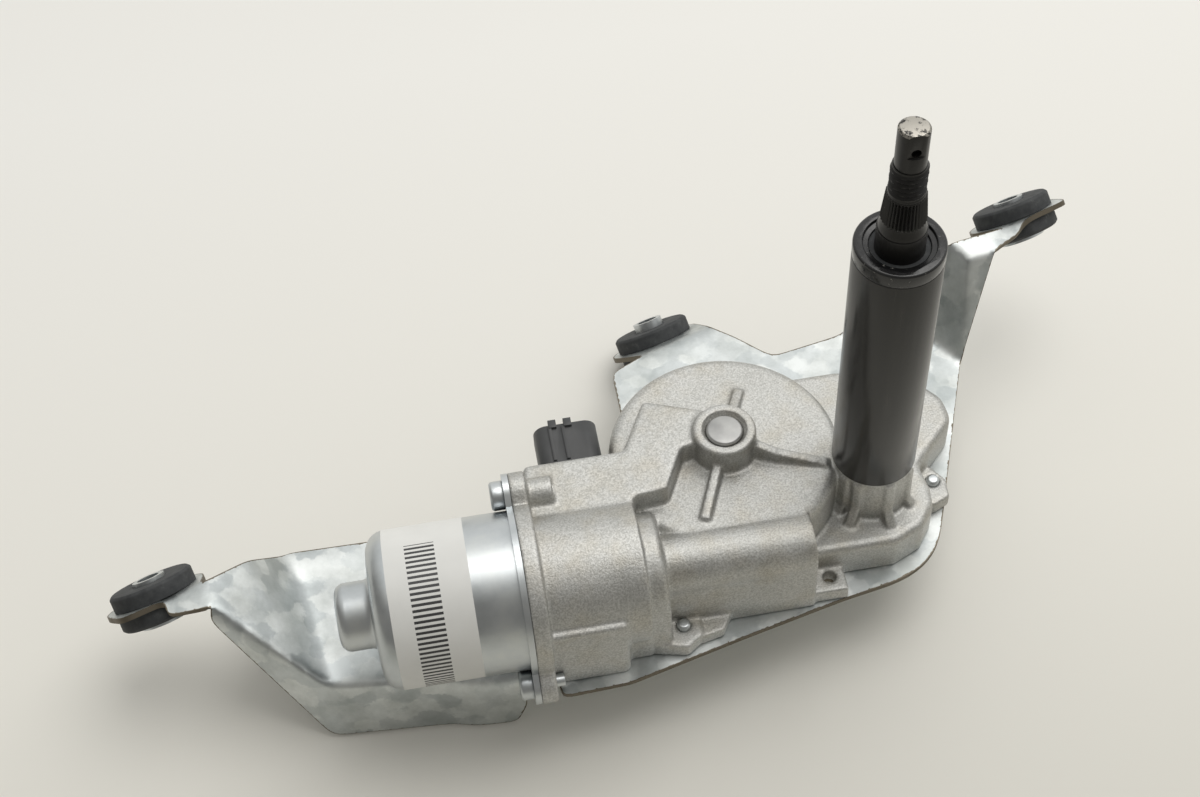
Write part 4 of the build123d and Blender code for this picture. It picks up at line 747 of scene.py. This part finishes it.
# %% [markdown]
# ## Table and light
# The motor lies on a plain sheet of warm white paper, whose colour is painted darker in front and
# paler towards the back, as the photo's background does: a painted shade for the light falling off
# towards the front. One large soft lamp hangs high above it, a little to the right and behind, and
# the room's own pale light does the rest. The room is brightest above and behind, on the right, and
# greyer in front, which gives the metals something to mirror.


# %% Floor
def pale_sheet():
    """Uncoated paper: a white with no gloss and hardly any tooth, and painted shade that darkens it
    towards the front.
    """
    mat, where = new_finish("paper backdrop, warm white")
    tooth = add(mat, "TexNoise", Vector=where, Scale=1 / 2, Detail=2.0)
    bump = add(mat, "Bump", Strength=0.05, Distance=0.05 * MM, Height=tooth)
    depth = add(mat, "SeparateXYZ", Vector=where).outputs["Y"]
    share = add(mat, "MapRange", Value=depth, i1=-300, i2=400)
    # Painted shade: the paper's colour darkens towards the front, for the light falling off there.
    painted_falloff = [(0.0, "#BDBBB2"), (0.45, "#E3E1DA"), (0.8, "#ECEBE7")]
    tone = add(mat, "ValToRGB", {"stops": painted_falloff}, Fac=share)
    shader = add(mat, "BsdfPrincipled", Base_Color=tone, Roughness=0.85, Normal=bump)
    add(mat, "OutputMaterial", Surface=shader)
    return mat


half_floor, floor_gap = 3.0, 0.4 * MM
floor_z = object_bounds()[0][2] - floor_gap
shape = bmesh.new()
bmesh.ops.create_grid(shape, x_segments=1, y_segments=1, size=half_floor)
bmesh.ops.translate(shape, verts=shape.verts, vec=(0, 0, floor_z))
mesh = bpy.data.meshes.new("floor")
shape.to_mesh(mesh)
shape.free()
floor = bpy.data.objects.new("floor", mesh)
put_in_scene(floor)
floor.data.materials.append(pale_sheet())
print("floor at", round(floor_z / MM, 2), "mm")

# %% Lamp
lamp_place = Vector((0.34, 0.20, 1.30))
lamp_aim = Vector((-0.05, 0.0, 0.0))
lamp = bpy.data.lights.new("overhead", "AREA")
lamp.shape = "DISK"
lamp.size = 1.2
lamp.energy = 8.6
lamp.color = colour("#FFFDFA")[:3]
overhead = bpy.data.objects.new("overhead", lamp)
put_in_scene(overhead)
overhead.location = lamp_place
overhead.rotation_euler = (lamp_aim - lamp_place).to_track_quat("-Z", "Y").to_euler()
print("lamp", round((lamp_aim - lamp_place).length, 2), "m away")

# %% Room
world = bpy.data.worlds.new("room")
bpy.context.scene.world = world
world.use_nodes = True
brightest_way = (0.35, 0.60, 0.55)
direction = add(world, "TexCoord").outputs["Generated"]
lean = add(world, "VectorMath", {"operation": "DOT_PRODUCT"}, i0=direction, i1=brightest_way)
room_tones = [(0.0, "#8A8884"), (0.25, "#C2C1BD"), (0.55, "#ECECE9"), (0.85, "#FFFFFD")]
room = add(world, "ValToRGB", {"stops": room_tones}, Fac=lean.outputs["Value"])
background = world.node_tree.nodes["Background"]
world.node_tree.links.new(room.outputs["Color"], background.inputs["Color"])
background.inputs["Strength"].default_value = 1.0
bpy.context.scene.view_settings.view_transform = "Standard"
print("the room is brightest towards", brightest_way)
